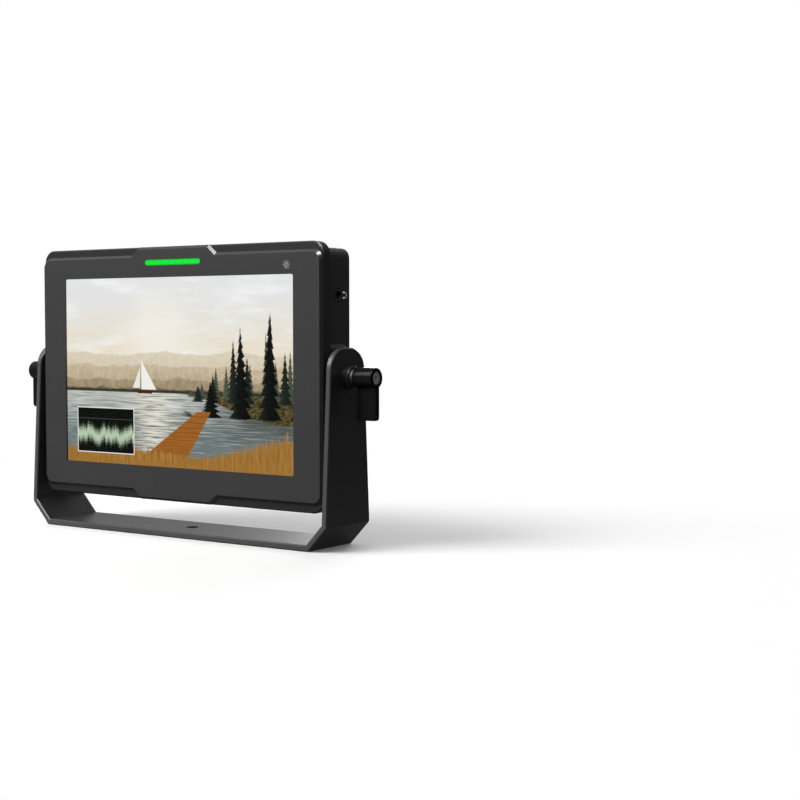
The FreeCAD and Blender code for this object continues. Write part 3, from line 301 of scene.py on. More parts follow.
def piece(name, solids, finish, body=None):
    """One flat-shaded mesh at the origin from a list of (points, faces) in millimetres, riding on a body."""
    starts = np.cumsum([0] + [len(points) for points, faces in solids])
    points = np.concatenate([points for points, faces in solids]) * MM
    faces = [[k + int(start) for k in face] for (_, some), start in zip(solids, starts) for face in some]
    mesh = bpy.data.meshes.new(name)
    mesh.from_pydata(points.tolist(), [], faces)
    mesh.materials.append(finish)
    mesh.validate()
    made = bpy.data.objects.new(name, mesh)
    scene.collection.objects.link(made)
    if body:
        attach(made, body)
    print("piece", name, "faces", len(mesh.polygons))
    return made


# %% Floor disc
def disc(radius, rings, spokes, level):
    """Points at (radius times t squared, angle) for t up to 1, so that the rings are finest in the middle."""
    t = np.linspace(0.02, 1, rings)[:, None] ** 2
    angle = np.linspace(0, 2 * np.pi, spokes, endpoint=False)[None, :]
    points = np.stack([radius * t * np.cos(angle), radius * t * np.sin(angle), level + 0 * t * angle],
                      axis=-1)
    faces = [quad[::-1] for quad in grid_faces(rings, spokes, wrap_columns=True)]
    return points.reshape(-1, 3), faces + [list(range(spokes))]


def floor_finish(graph):
    """White to the eye everywhere; what it throws back at the object fades towards the dark side."""
    x, y, z = graph.split(graph.place())
    away = graph.ease(x.hypot(y), 0.13, 0.46)
    bright_side = graph.ease(x, 0.35, -0.15)
    seen, mirrored = graph.rays()
    thrown = 0.05 + 0.28 * bright_side
    white = (1, 1, 1, 1)
    matt = graph.make("ShaderNodeBsdfDiffuse", sockets={"Color": seen + (1 - seen) * thrown})
    lifted = seen * 0.08 + mirrored * 0.3 * thrown
    lift = graph.make("ShaderNodeEmission", sockets={"Color": white, "Strength": lifted})
    near = graph.make("ShaderNodeAddShader", sockets={0: matt, 1: lift})
    far = graph.make("ShaderNodeEmission", sockets={"Color": white, "Strength": seen + mirrored * thrown})
    return graph.make("ShaderNodeMixShader", sockets={0: away, 1: near, 2: far})


floor_radius_mm, floor_level_mm = 4000, -0.2
floor = piece("floor", [disc(floor_radius_mm, 40, 96, floor_level_mm)], material("floor_white", floor_finish))

# %% [markdown]
# ## Painted and anodised metal
# The bezel, the case and the bracket are die-cast or bent metal under a fine black coat. Such a coat is
# never one flat colour: it has a grain of about a third of a millimetre, and its gloss drifts over the
# surface. Two noise textures at different scales give both, and the finer one also feeds the bump.


# %% Coats
def coat(name, colour, rough, grain_mm, relief_mm, gloss, drift=0.12, spread=0.07):
    """Coat: fine grain in relief, with a slow drift of colour and of gloss."""
    def build(graph):
        at = graph.place()
        grain = graph.noise(at, 1 / (grain_mm * MM), 2.0)
        slow = graph.noise(at, 28.0, 3.0)
        fleck = graph.ease(grain, 0.25, 0.75)
        shade = slow * 0.65 + fleck * 0.35
        base = graph.mix(shade, tint(colour, 1 - drift), tint(colour, 1 + drift))
        roughness = rough - spread / 2 + spread * (slow * 0.5 + fleck * 0.5)
        return principled(graph, base, roughness, gloss, relief=grain, relief_mm=relief_mm)
    return material(name, build)


case_black = coat("case_black", "373738", 0.46, 0.35, 0.006, 0.40)
lever_black = coat("lever_black", "1b1b1c", 0.13, 0.40, 0.0006, 0.07)
collar_black = coat("collar_black", "29292a", 0.40, 0.40, 0.003, 0.35)


# %% [markdown]
# The bracket is a sawn and bent plate. Its cut edges are painted a shade lighter than the faces, a painted
# highlight, and their coat is smoother. Seen from the side, the plate's outline is a straight base, a tapered
# arm and a head with round corners. A point on a cut edge lies on that outline, so its distance from the
# outline tells edge from face.

# %% Bracket finish
foot_half_mm, top_mm = span("u_bracket")[1][1:]
head_half_mm, corner_mm, taper_share = 12.75, 10.5, 0.0549
corner_y_mm = head_half_mm + (taper_share - 1) * corner_mm
corner_z_mm = top_mm - corner_mm
base_bore_mm = 3.3


def bracket_finish(graph):
    """Satin coat with a fine orange peel, smoother on the outline and painted lighter there as a painted
    highlight. With a and h the distances past the corner's centre outward and upward, and d the one below it,
    all at least 0, the distance from the outline is min(foot, corner + taper d) - sqrt(a a + h h), with the
    foot counted from that centre."""
    at, x, y, z = graph.point()
    aside = (abs(y) / MM - corner_y_mm).math("MAXIMUM", 0.0)
    above = (z / MM - corner_z_mm).math("MAXIMUM", 0.0)
    under = (corner_z_mm - z / MM).math("MAXIMUM", 0.0)
    half = (corner_mm + taper_share * under).math("MINIMUM", foot_half_mm - corner_y_mm)
    distance = half - aside.hypot(above)
    cut = graph.ease(distance, 0.32, 0.12)
    peel = graph.noise(at, 1 / (0.55 * MM), 2.0)
    slow = graph.noise(at, 30.0, 3.0)
    faces = graph.mix(slow, "242425", "2c2c2d")
    # The wall of the hole in the base is painted near black: painted shade.
    bore = graph.ease(x.hypot(y) / MM, base_bore_mm + 0.4, base_bore_mm + 0.2)
    faces = graph.mix(bore, faces, "0a0a0a")
    # The cut edges are painted lighter than the faces: a painted highlight.
    painted_edge_highlight = graph.mix(slow, "4e4e4f", "5a5a5b")
    return principled(graph, graph.mix(cut, faces, painted_edge_highlight), 0.36 + 0.06 * slow - 0.06 * cut,
                      relief=peel, relief_mm=0.006)


bracket_black = material("bracket_black", bracket_finish)


# %% [markdown]
# The bezel's raised face has a finer coat than the step round it, and the step is painted darker, as painted
# shade. The two lie at different depths, so the depth in Object coordinates tells them apart. Handling has
# polished the face's chamfer, which is smoother and has no grain.

# %% Bezel finish
face_proud_mm = 1.6
step_mm = face_mm + face_proud_mm


def bezel_finish(graph):
    """Face coat in front, the step behind painted darker as painted shade, and a polished band on the chamfer
    between them.
    """
    at, x, y, z = graph.point()
    grain = graph.noise(at, 1 / (0.30 * MM), 2.0)
    slow = graph.noise(at, 24.0, 3.0)
    step = graph.ease(y / MM, step_mm - 0.22, step_mm - 0.08)
    chamfer = graph.ease(y / MM, face_mm + 0.03, face_mm + 0.12) * (1 - step)
    face_coat = graph.mix(slow * 0.7 + graph.ease(grain, 0.25, 0.75) * 0.3, "303031", "39393a")
    # The step is painted darker than the face: painted shade.
    shaded_step = graph.mix(slow, "151516", "1b1b1c")
    return principled(graph, graph.mix(step, face_coat, shaded_step), 0.43 + 0.06 * slow - 0.18 * chamfer,
                      gloss=0.45, relief=(grain - 0.5) * (1 - chamfer), relief_mm=0.004)


bezel_black = material("bezel_black", bezel_finish)


# %% [markdown]
# The heat sink is machined and anodised. Its slots leave sharp corners where the sloping ends meet the rear
# face, and there a thin bright line is painted, partly bare metal from the cutter and partly a painted
# highlight. Because the line lies at a known height, a mask on Object coordinates draws it. A second mask, on
# depth, darkens the slots with painted shade.

# %% Heat sink finish
sink_rear_mm = span("heat_sink")[1][1]
sink_slope_mm, waist_mm = 4.25, 31.8
sink_rear_half_mm = span("heat_sink")[1][2] - pivot_mm - sink_slope_mm


def sink_finish(graph):
    """Brushed along the fins, with a painted highlight, partly bare metal, where the slope meets the rear
    face, and painted shade down in the slots.
    """
    at, x, y, z = graph.point()
    brushed = graph.noise(graph.join(x * 9000, y * 900, z * 260), 1.0, 3.0, 0.6)
    slow = graph.noise(at, 40.0, 2.0)
    height, sunk = abs(z / MM - pivot_mm), sink_rear_mm - y / MM
    # A thin line painted bright where the slope meets the rear face: partly bare metal, partly a painted
    # highlight.
    edge = graph.ease(abs(height - sink_rear_half_mm), 0.42, 0.12) * graph.ease(sunk, 0.8, 0.5)
    body = graph.mix(brushed * 0.6 + slow * 0.4, "3e3e40", "4c4c4e")
    # The slots are painted darker with depth: painted shade.
    slot = graph.ease(sunk, 0.3, 2.0) * graph.ease(abs(x) / MM, waist_mm, waist_mm - 0.3)
    body = graph.mix(slot, body, "161617")
    return principled(graph, graph.mix(edge, body, "b4b4b6"), 0.47 - 0.1 * edge + 0.06 * slow,
                      gloss=0.45, metal=0.25 + 0.6 * edge, relief=brushed, relief_mm=0.004)


sink_black = material("sink_black", sink_finish)

# %% [markdown]
# ## Bright metals
# The jacks are turned from brass and plated. Turning leaves rings round the axis, so a sine of the distance
# along the axis feeds the bump. Inside the barrels a mask on the distance from the nearest axis paints the
# plating dark, as painted shade.


# %% Plated metals
def plated(name, colour, rough, ring_mm=0.16, relief_mm=0.004, axis=1, metal=1.0):
    """Plating with turned rings: a sine along one axis, and a faint tarnish in patches."""
    def build(graph):
        at = graph.place()
        rings = graph.rings(graph.split(at)[axis], ring_mm)
        tarnish = graph.ease(graph.noise(at, 260.0, 3.0), 0.35, 0.8)
        base = graph.mix(tarnish * 0.5, colour, tint(colour, 0.78))
        return principled(graph, base, rough + 0.06 * tarnish, metal=metal, relief=rings, relief_mm=relief_mm)
    return material(name, build)


nickel = plated("nickel", "e6e5e2", 0.17, relief_mm=0.002)
steel = plated("steel", "b9b9bb", 0.27, 0.3, 0.003)
stud_steel = plated("stud_steel", "77787c", 0.36, 0.3, 0.001, axis=0)
screw_zinc = plated("screw_zinc", "d4d5d8", 0.45, 0.3, 0.001, axis=0, metal=0.2)
gold = plated("gold", "e2b557", 0.24, 0.2, 0.003)

# %% Jack barrels and socket shells
bnc_x_mm, _, bnc_top_mm = centre("bnc_shell_1")
bnc_pitch_mm = (bnc_top_mm - centre("bnc_shell_4")[2]) / 3
bnc_bore_mm = 4.12


def barrel_finish(graph):
    """Bright plating, painted dark within the bore as painted shade: the radius counts from the nearest of
    the four axes.
    """
    at, x, y, z = graph.point()
    steps = ((z / MM - bnc_top_mm) / bnc_pitch_mm).math("ROUND")
    rise = z / MM - bnc_top_mm - steps * bnc_pitch_mm
    # Inside the bore the plating is painted near black: painted shade.
    inside = graph.ease((x / MM - bnc_x_mm).hypot(rise), bnc_bore_mm + 0.18, bnc_bore_mm)
    rings = graph.rings(y, 0.18)
    worn = graph.noise(at, 300.0, 3.0)
    bright = graph.mix(worn, "ecebe8", "d2d1ce")
    return principled(graph, graph.mix(inside, bright, "0c0c0d"), 0.14 + 0.08 * worn + 0.3 * inside,
                      metal=1 - inside, relief=rings, relief_mm=0.002)


def shell_finish(rim_colour, dark_below_mm):
    """Pressed shell: bright at the rim, dark inside where little light gets in."""
    def build(graph):
        at, x, y, z = graph.point()
        deep = graph.ease(y / MM, dark_below_mm + 0.1, dark_below_mm - 0.15)
        worn = graph.noise(at, 420.0, 3.0)
        bright = graph.mix(worn, rim_colour, tint(rim_colour, 0.7))
        return principled(graph, graph.mix(deep, bright, "0d0d0e"), 0.26 + 0.1 * worn + 0.25 * deep,
                          metal=1 - 0.7 * deep, relief=worn, relief_mm=0.003)
    return build


barrel_nickel = material("barrel_nickel", barrel_finish)
flat_shell_gilt = material("flat_shell_gilt", shell_finish("e6dcb4", rear_mm - 0.2))
data_shell_steel = material("data_shell_steel", shell_finish("d6d6d8", rear_mm - 0.3))

# %% [markdown]
# ## Plastics and boards
# Moulded plastic shows a fine spark-eroded texture and slightly uneven gloss. The button caps and the rocker
# are glossier than the frame round the switch. The red cap looks a little translucent, which a clear coat on
# top imitates.


# %% Plastics
def moulded(name, colour, rough, grain_mm=0.25, relief_mm=0.004, gloss=0.5, coat_weight=0.0):
    """Moulded plastic: spark-eroded grain in relief, gloss drifting by a tenth."""
    def build(graph):
        at = graph.place()
        grain = graph.noise(at, 1 / (grain_mm * MM), 3.0, 0.6)
        slow = graph.noise(at, 120.0, 2.0)
        base = graph.mix(slow, tint(colour, 0.86), tint(colour, 1.14))
        return principled(graph, base, rough - 0.05 + 0.1 * slow, gloss, relief=grain, relief_mm=relief_mm,
                          more={"Coat Weight": coat_weight})
    return material(name, build)


black_plastic = moulded("black_plastic", "161617", 0.42)
rocker_black = moulded("rocker_black", "1a1a1b", 0.34, relief_mm=0.003)
bore_black = moulded("bore_black", "050505", 0.6, gloss=0.2)
red_plastic = moulded("red_plastic", "c41820", 0.32, coat_weight=0.3)
blue_plastic = moulded("blue_plastic", "0b2290", 0.36)
button_black = moulded("button_black", "1d1d1e", 0.36)
plate_black = moulded("plate_black", "131314", 0.45, 0.5, 0.003, gloss=0.2)
thermal_grey = moulded("thermal_grey", "77797c", 0.8, 0.4, 0.01)
fibre_dark = moulded("fibre_dark", "2a2624", 0.75, 0.2, 0.01)
chip_black = moulded("chip_black", "202124", 0.5)
speaker_black = moulded("speaker_black", "141415", 0.7, 0.3, 0.02)


def board_finish(graph):
    """Circuit board: copper tracks under green lacquer as two families of stripes, cut up by noise."""
    at, x, y, z = graph.point()
    lane_mm = 1 / 2.6
    upright, level = (graph.ease(abs((along / (lane_mm * MM)).math("FRACT") - 0.5), 0.2, 0.14)
                      for along in (x, z))
    cells = graph.noise(at, 180.0, 0.0)
    track = upright * graph.ease(cells, 0.50, 0.53) + level * graph.ease(cells, 0.50, 0.47)
    base = graph.mix(track.math("MINIMUM", 1.0), "0c3a22", "2a6a3c")
    return principled(graph, base, 0.38, relief=track, relief_mm=0.02)


board_green = material("board_green", board_finish)
phone_half_mm, phone_bore_mm = 3.0, 1.85
phone_z_mm = centre("headphone_jack")[2]
phone_y_mm = span("headphone_jack")[1][1] - phone_half_mm


def side_jack_finish(graph):
    """The jack in the side wall: the coat of the wall round a black bore."""
    at, x, y, z = graph.point()
    radius = (y / MM - phone_y_mm).hypot(z / MM - phone_z_mm)
    bore = graph.ease(radius, phone_bore_mm + 0.15, phone_bore_mm)
    grain = graph.noise(at, 1 / (0.35 * MM), 2.0)
    wall = graph.mix(grain, "303031", "3c3c3d")
    return principled(graph, graph.mix(bore, wall, "050505"), 0.46 + 0.1 * bore, gloss=0.4,
                      relief=grain, relief_mm=0.006)


side_jack = material("side_jack", side_jack_finish)

# %% [markdown]
# ## Screen
# A lit panel is an emitter behind clear glass. The picture on it is a made-up lake view: a pale sky, four
# ridges, grey water, dark firs, a jetty and reeds, with a small waveform in one corner as such monitors
# offer. Each layer is a function of its own, which lays a colour over the picture so far where its mask
# says.


# %% Window of the panel
panel_border_mm = 4.6
panel_low, panel_high = span("lcd_panel")
window_low, window_high = panel_low + panel_border_mm, panel_high - panel_border_mm
window_size = window_high - window_low
print("window %.1f x %.1f mm" % (window_size[0], window_size[2]))


class Canvas:
    """The panel's window: u and v run from 0 to 1 across and up it, and each layer covers the ones before."""

    def __init__(self, graph):
        x, y, z = graph.split(graph.place())
        self.graph = graph
        self.u = (x / MM - window_low[0]) / window_size[0]
        self.v = (z / MM - window_low[2]) / window_size[2]
        self.parts = self.graph, self.u, self.v

    def texture(self, per_u, per_v, seed, detail, rough=0.5):
        """Noise whose grain is so many to the window's width and height."""
        return self.graph.noise(self.graph.join(self.u * per_u, self.v * per_v, seed), 1.0, detail, rough)

    def wave(self, frequency, seed):
        """Noise in u alone."""
        return self.graph.noise(self.graph.join(self.u * frequency, seed, 0.0), 1.0, 4.0, 0.55)

    def below(self, line, soft=0.006):
        return self.graph.ease(self.v - line, soft, -soft)


# %% Sky and ridges
def sky_layer(canvas):
    """Warm at the horizon and cool above, with clouds and a pale sun."""
    graph, u, v = canvas.parts
    picture = graph.mix(graph.ease(v, 0.5, 1.0), "f6ead2", "eef1f1")
    cloud = canvas.texture(3.2, 9.0, 2.0, 5.0, 0.6)
    picture = graph.mix(graph.ease(cloud, 0.45, 0.72), picture, "ffffff")
    sun = ((u - 0.42) * 1.6).hypot(v - 0.66)
    return graph.mix(graph.ease(sun, 0.36, 0.04) * 0.85, picture, "fffaf0")


def ridge_layer(canvas, picture):
    """Four ridges: a line at base, give or take half its rise, and land below it that lightens upwards."""
    graph, v = canvas.graph, canvas.v
    ridges = ((0.60, 0.16, 3.0, 11.0, "dccfb6", "e9dfca"), (0.53, 0.16, 4.5, 23.0, "bfae8f", "d8c9ab"),
              (0.46, 0.13, 6.5, 37.0, "94866c", "b7a684"), (0.41, 0.07, 11.0, 51.0, "5d5a4a", "85795f"))
    for base, rise, frequency, seed, dark, light in ridges:
        line = base - rise / 2 + rise * canvas.wave(frequency, seed)
        grain = canvas.texture(46, 26, seed, 4.0, 0.65)
        colour = graph.mix(graph.ease(grain + (v - line) * 2.2, 0.15, 0.7), dark, light)
        picture = graph.mix(canvas.below(line), picture, colour)
    return picture


# %% Water and bank
shore_v = 0.395


def water_layer(canvas, picture):
    """Ripples drawn out along u, with the sun's glitter in the middle and the firs' shade on the right."""
    graph, u, v = canvas.parts
    ripple = canvas.texture(9.0, 150.0, 5.0, 4.0, 0.6)
    depth = graph.ease(v, 0.40, 0.08)
    water = graph.mix(graph.ease(ripple + 0.25 * depth, 0.38, 0.78), "cfd3cd", "6f7d7c")
    glitter = graph.ease(abs(u - 0.40), 0.16, 0.0) * graph.ease(ripple, 0.62, 0.42)
    water = graph.mix(glitter * 0.8, water, "fdf6e6")
    shade = graph.ease(u + 0.1 * ripple, 0.55, 0.95) * graph.ease(v, 0.06, 0.30)
    water = graph.mix(shade * 0.85, water, "2c332f")
    return graph.mix(canvas.below(shore_v, 0.003), picture, water)


def bank_layer(canvas, picture):
    """Turf that comes further down the more it lies to the right, and a dark line along the far shore."""
    graph, u, v = canvas.parts
    edge = 0.392 - 0.15 * graph.ease(u + 0.03 * canvas.wave(24.0, 71.0), 0.50, 0.97)
    turf = canvas.texture(60, 90, 6.0, 4.0, 0.65)
    bank = graph.mix(graph.ease(turf, 0.35, 0.7), "2f2e20", "75693f")
    picture = graph.mix(graph.ease(v - edge, -0.004, 0.004) * canvas.below(shore_v, 0.003), picture, bank)
    shore = shore_v + 0.018 * canvas.wave(30.0, 61.0)
    return graph.mix(canvas.below(shore, 0.004) * graph.ease(v, 0.385, 0.392), picture, "3b3a30")


# %% Boat and firs
def boat_layer(canvas, picture):
    """Mainsail and jib, each the triangle between the mast, the boom and a slanting edge, over a low hull."""
    graph, u, v = canvas.parts
    aft, fore = u - 0.335, 0.331 - u
    mainsail = graph.ease(aft, 0.0, 0.003) * graph.ease(aft * 2.3 + (v - 0.40), 0.168, 0.160)
    jib = graph.ease(fore, 0.0, 0.002) * graph.ease(fore * 3.2 + (v - 0.41), 0.118, 0.110)
    sails = (mainsail * graph.ease(v, 0.402, 0.408)).math("MAXIMUM", jib * graph.ease(v, 0.410, 0.415) * 0.9)
    hull = graph.ease(abs(u - 0.352), 0.035, 0.031) * graph.ease(abs(v - 0.392), 0.010, 0.007)
    picture = graph.mix(sails, picture, "fbfaf5")
    return graph.mix(hull, picture, "4a2b18")


def fir_layer(canvas, picture):
    """Three rows of firs, one to a cell of u: half the width shrinks with the climb and swells at a tier."""
    graph, u, v = canvas.parts
    rows = ((19.0, 3.0, 0.375, 0.36, "4a5247", "6f705a"), (13.0, 8.0, 0.350, 0.50, "1d2420", "3d4233"),
            (8.0, 2.4, 0.270, 0.70, "0d1110", "2b2f24"))
    for count, seed, foot, tallest, dark, light in rows:
        cell = (u * count + seed).math("FLOOR")
        pick = graph.make("ShaderNodeTexWhiteNoise", {"noise_dimensions": "1D"}, {"W": cell})
        off = (u * count + seed).math("FRACT") - 0.35 - 0.3 * pick
        height = tallest * graph.ease(u, 0.50, 0.88) * (0.5 + 0.5 * pick) + 0.02
        climb = (v - foot) / height
        tiers = 1 - (climb * (7 + 4 * pick)).math("FRACT")
        ragged = canvas.texture(260, 120, seed, 4.0, 0.7)
        reach = (1 - climb) * (0.22 + 0.20 * tiers) * (0.55 + 0.9 * ragged)
        standing = graph.ease(climb, -0.02, 0.0) * graph.ease(u, 0.50, 0.56)
        fir = graph.ease(reach - abs(off), -0.01, 0.03) * standing
        needles = graph.mix(graph.ease(ragged - off * 0.6, 0.45, 0.85), dark, light)
        picture = graph.mix(fir, picture, needles)
    return picture


# %% Jetty and reeds
def jetty_layer(canvas, picture):
    """Planks between two edges that meet far out; the gaps crowd as v climbs."""
    graph, u, v = canvas.parts
    plank = (v * 70 / (0.4 + v * 2.2)).math("FRACT")
    left_edge, right_edge = 0.30 + v * 0.95, 0.52 + v * 0.42
    deck = graph.ease(u - left_edge, 0.0, 0.004) * graph.ease(right_edge - u, 0.0, 0.004)
    wood = graph.mix(graph.ease(plank, 0.02, 0.16), "4f2c12", "b9752f")
    wood = graph.mix(canvas.texture(14, 120, 9.0, 3.0), wood, "8a5222")
    return graph.mix(deck * graph.ease(v, 0.300, 0.294), picture, wood)


def reed_layer(canvas, picture):
    """Upright blades whose tips stand higher at the left and most at the right."""
    graph, u = canvas.graph, canvas.u
    blades = canvas.texture(130, 7.0, 4.0, 3.0, 0.7)
    left_tips = 0.13 * graph.ease(abs(u - 0.15), 0.9, 0.0) * blades
    right_tips = 0.30 * graph.ease(u, 0.55, 1.0) * blades
    reeds = graph.mix(blades, "5a3a17", "d39a4a")
    return graph.mix(canvas.below(0.02 + left_tips + right_tips, 0.012), picture, reeds)


# %% Waveform corner
def scope_layer(canvas, picture):
    """A framed waveform at the lower left: a dark field, three lines and a cloud of trace."""
    graph = canvas.graph
    du, dv = (canvas.u - 0.032) / 0.27, (canvas.v - 0.05) / 0.25
    inside = graph.ease(abs(du - 0.5), 0.502, 0.498) * graph.ease(abs(dv - 0.5), 0.502, 0.498)
    field = graph.ease(abs(du - 0.5), 0.489, 0.486) * graph.ease(abs(dv - 0.5), 0.482, 0.478)
    lines = graph.ease(abs((dv * 4).math("FRACT") - 0.5), 0.47, 0.49) * 0.25
    level = graph.noise(graph.join(du * 7, 77.0, 0.0), 1.0, 3.0) * 0.9 - 0.05
    spray = graph.noise(graph.join(du * 60, dv * 60, 3.0), 1.0, 2.0, 0.7)
    trace = graph.ease(abs(dv - level) + (spray - 0.5) * 0.5, 0.20, 0.02)
    shown = graph.mix(lines, "10140f", "9aa0a0")
    shown = graph.mix(trace * 0.85, shown, "cfe6c6")
    return graph.mix(inside, picture, graph.mix(field, "f4f4f2", shown))


def lake_view(graph):
    """The layers one over the other, from the sky to the waveform."""
    canvas = Canvas(graph)
    picture = sky_layer(canvas)
    for layer in (ridge_layer, water_layer, bank_layer, boat_layer, fir_layer, jetty_layer, reed_layer,
                  scope_layer):
        picture = layer(canvas, picture)
    return picture


# %% Panel, glass and tally lens
def panel_finish(graph):
    """The lit picture on a dull dark sheet."""
    return principled(graph, (0.01, 0.01, 0.01, 1), 0.5, gloss=0.1,
                      more={"Emission Color": lake_view(graph), "Emission Strength": 0.97})


def glass_finish(graph):
    """Nearly clear, with faint smears in its gloss."""
    smear = graph.noise(graph.place(), 60.0, 3.0)
    return principled(graph, (0.02, 0.02, 0.022, 1), 0.03 + 0.03 * smear, more={"Alpha": 0.05})


def tally_finish(graph):
    """Green glow, strongest along the middle and at each lamp behind the lens."""
    x, y, z = graph.split(graph.place())
    lamp_pitch_mm = 4.5
    across = graph.ease(abs(z / MM - centre("tally_light_bar")[2]), 1.4, 0.5)
    lamps = 0.5 + 0.5 * (x / MM * (2 * math.pi / lamp_pitch_mm)).math("COSINE")
    glow = graph.mix(across * (0.75 + 0.25 * lamps), "00c828", "00fb3a")
    return principled(graph, tint("063a14"), 0.5, gloss=0.15,
                      more={"Emission Color": glow, "Emission Strength": 0.86})


lit_panel = material("lit_panel", panel_finish)
cover_glass = material("cover_glass_clear", glass_finish)
tally_green = material("tally_green", tally_finish)

# %% [markdown]
# ## Dress the CAD nodes
# A node whose shape is right keeps its mesh and gets a finish. The imported mesh is left alone: only the
# material in its object's slot changes.

# %% Finish of every node
dressing = (
    (bracket_black, "u_bracket"), (fibre_dark, "friction_washers"), (bezel_black, "front_bezel"),
    (cover_glass, "cover_glass"), (lit_panel, "lcd_panel"), (tally_green, "tally_light_bar"),
    (steel, "backlight_unit panel_plate panel_screws pivot_inserts case_screws board_screws"),
    (board_green, "tally_led_board main_board button_board"), (case_black, "rear_housing"),
    (sink_black, "heat_sink"), (plate_black, "label_plate"), (thermal_grey, "thermal_pad"),
    (black_plastic, "fan_frame hdmi_tongues switch_frame"), (speaker_black, "fan_rotor speaker"),
    (nickel, "board_standoffs bnc_washers bnc_nuts tally_jack dc_jack dc_nut dc_pin"),
    (chip_black, "processor tact_switches"), (bore_black, "bnc_insulators"), (gold, "bnc_contacts"),
    (barrel_nickel, "bnc_shell_1 bnc_shell_2 bnc_shell_3 bnc_shell_4"), (flat_shell_gilt, "hdmi_shells"),
    (data_shell_steel, "usb_shell"), (blue_plastic, "usb_tongue"), (side_jack, "headphone_jack"),
    (rocker_black, "power_rocker"), (red_plastic, "power_button"),
    (button_black, "menu_button left_button right_button exit_button function_button input_button"),
    (collar_black, "clamp_collar_right clamp_collar_left"), (stud_steel, "clamp_stud_right clamp_stud_left"),
    (lever_black, "clamp_lever_right clamp_lever_left"),
    (screw_zinc, "clamp_cap_screw_right clamp_cap_screw_left"))
finish_of = {name: finish for finish, names in dressing for name in names.split()}
for name, node in nodes.items():
    for place in node.material_slots:
        place.material = finish_of[name]
print("dressed", len(nodes), "nodes")

# %% [markdown]
# ## Printed marks
# Silk-screen print is a film of ink a few hundredths of a millimetre thick. Each mark is a flat shape on a
# face: a stroke is a path widened to both sides, and a patch is an outline. Both are given the ink's
# thickness so that they are closed solids. A face is described by its origin and three directions: right,
# up and out.


# %% Faces that carry print
class Face:
    """A flat face: a point on it is origin + a * right + b * up + h * out, in millimetres."""

    def __init__(self, origin, right, up):
        self.origin, self.right, self.up = (np.array(v, float) for v in (origin, right, up))
        self.out = np.cross(self.right, self.up)

    def points(self, flat, height):
        flat = np.asarray(flat, float)
        return self.origin + flat[..., :1] * self.right + flat[..., 1:2] * self.up + height * self.out


rear_face = Face((0, rear_mm, pivot_mm), (-1, 0, 0), (0, 0, 1))
front_face = Face((0, face_mm, pivot_mm), (1, 0, 0), (0, 0, 1))
side_face = Face((side_mm, 0, pivot_mm), (0, 1, 0), (0, 0, 1))
ink_mm = 0.03


# %% Strokes and patches
def stroke(face, path, width, closed=False, low=-0.01, high=ink_mm):
    """A path widened to both sides: each point moves along its normal by half the width, more at a bend by
    the inverse cosine of half its angle; the four corners of the section make a closed grid."""
    path = np.asarray(path, float)
    ahead = np.roll(path, -1, 0) - path
    if not closed:
        ahead[-1] = ahead[-2]
    ahead /= np.linalg.norm(ahead, axis=1, keepdims=True)
    behind = np.roll(ahead, 1, 0)
    if not closed:
        behind[0] = ahead[0]
    sides = np.stack([-(ahead + behind)[:, 1], (ahead + behind)[:, 0]], axis=1)
    sides /= np.linalg.norm(sides, axis=1, keepdims=True)
    spread = np.abs(np.sum(sides * np.stack([-ahead[:, 1], ahead[:, 0]], axis=1), axis=1))
    sides *= (width / 2 / np.maximum(spread, 0.4))[:, None]
    rails = [face.points(path + sides, low), face.points(path - sides, low),
             face.points(path - sides, high), face.points(path + sides, high)]
    points = np.stack(rails, axis=1).reshape(-1, 3)
    faces = [quad[::-1] for quad in grid_faces(len(path), 4, closed, True)]
    if not closed:
        last = 4 * (len(path) - 1)
        faces += [[0, 1, 2, 3], [last + 3, last + 2, last + 1, last]]
    return points, faces


def patch(face, outline, low=-0.01, high=ink_mm):
    """An outline, counted anticlockwise, carried from low to high."""
    n = len(outline)
    points = np.concatenate([face.points(outline, low), face.points(outline, high)])
    walls = [[k, (k + 1) % n, n + (k + 1) % n, n + k] for k in range(n)]
    return points, walls + [list(range(n))[::-1], list(range(n, 2 * n))]


def arc(middle, radius, start, stop, count=24):
    """Points on a circle from one angle to another, in degrees."""
    angle = np.radians(np.linspace(start, stop, count))
    return np.stack([middle[0] + radius * np.cos(angle), middle[1] + radius * np.sin(angle)], axis=1)


def ring(face, middle, radius, width):
    return stroke(face, arc(middle, radius, 0, 360, 41)[:-1], width, closed=True)


def bar(face, left, right, bottom, top):
    return patch(face, [(left, bottom), (right, bottom), (right, top), (left, top)])


# %% [markdown]
# Rules and plain bars group the sockets into fields. The bars stay bare. Beside each video socket stand a
# number and an arrow that tells inputs from outputs.

# %% Rules and bars on the rear
rule_mm, tab_gap_mm = 0.44, 0.55
left_field = {"rule": (-86.7, -57.8), "tab": (-86.7, -83.9), "levels": (34.0, -1.95, -38.35, -52.75)}
right_field = {"rule": (56.6, 85.3), "tab": (82.6, 85.3), "levels": (34.2, -0.55, -13.45, -37.65, -52.6)}
rules, tabs = [], []
for field in (left_field, right_field):
    levels = field["levels"]
    rules += [bar(rear_face, *field["rule"], b - rule_mm / 2, b + rule_mm / 2) for b in levels]
    tabs += [bar(rear_face, *field["tab"], low + tab_gap_mm, high - tab_gap_mm)
             for high, low in zip(levels, levels[1:])]


def ink(name, colour, glow=0.0):
    """Screen ink: a slightly uneven film that lets a little of the coat show through as darker specks. A glow
    above 0 makes it emit a little: painted light.
    """
    def build(graph):
        specks = graph.ease(graph.noise(graph.place(), 4200.0, 2.0), 0.30, 0.55)
        shown = graph.mix(specks, tint(colour, 0.72), colour)
        return principled(graph, shown, 0.55, gloss=0.3,
                          more={"Emission Color": shown, "Emission Strength": glow})
    return material(name, build)


white_ink, grey_ink = ink("white_ink", "e6e6e4"), ink("grey_ink", "c9c5c6")
piece("rear_rules", rules, ink("rule_ink", "a9a9a9"), "monitor")
piece("rear_tabs", tabs, grey_ink, "monitor")

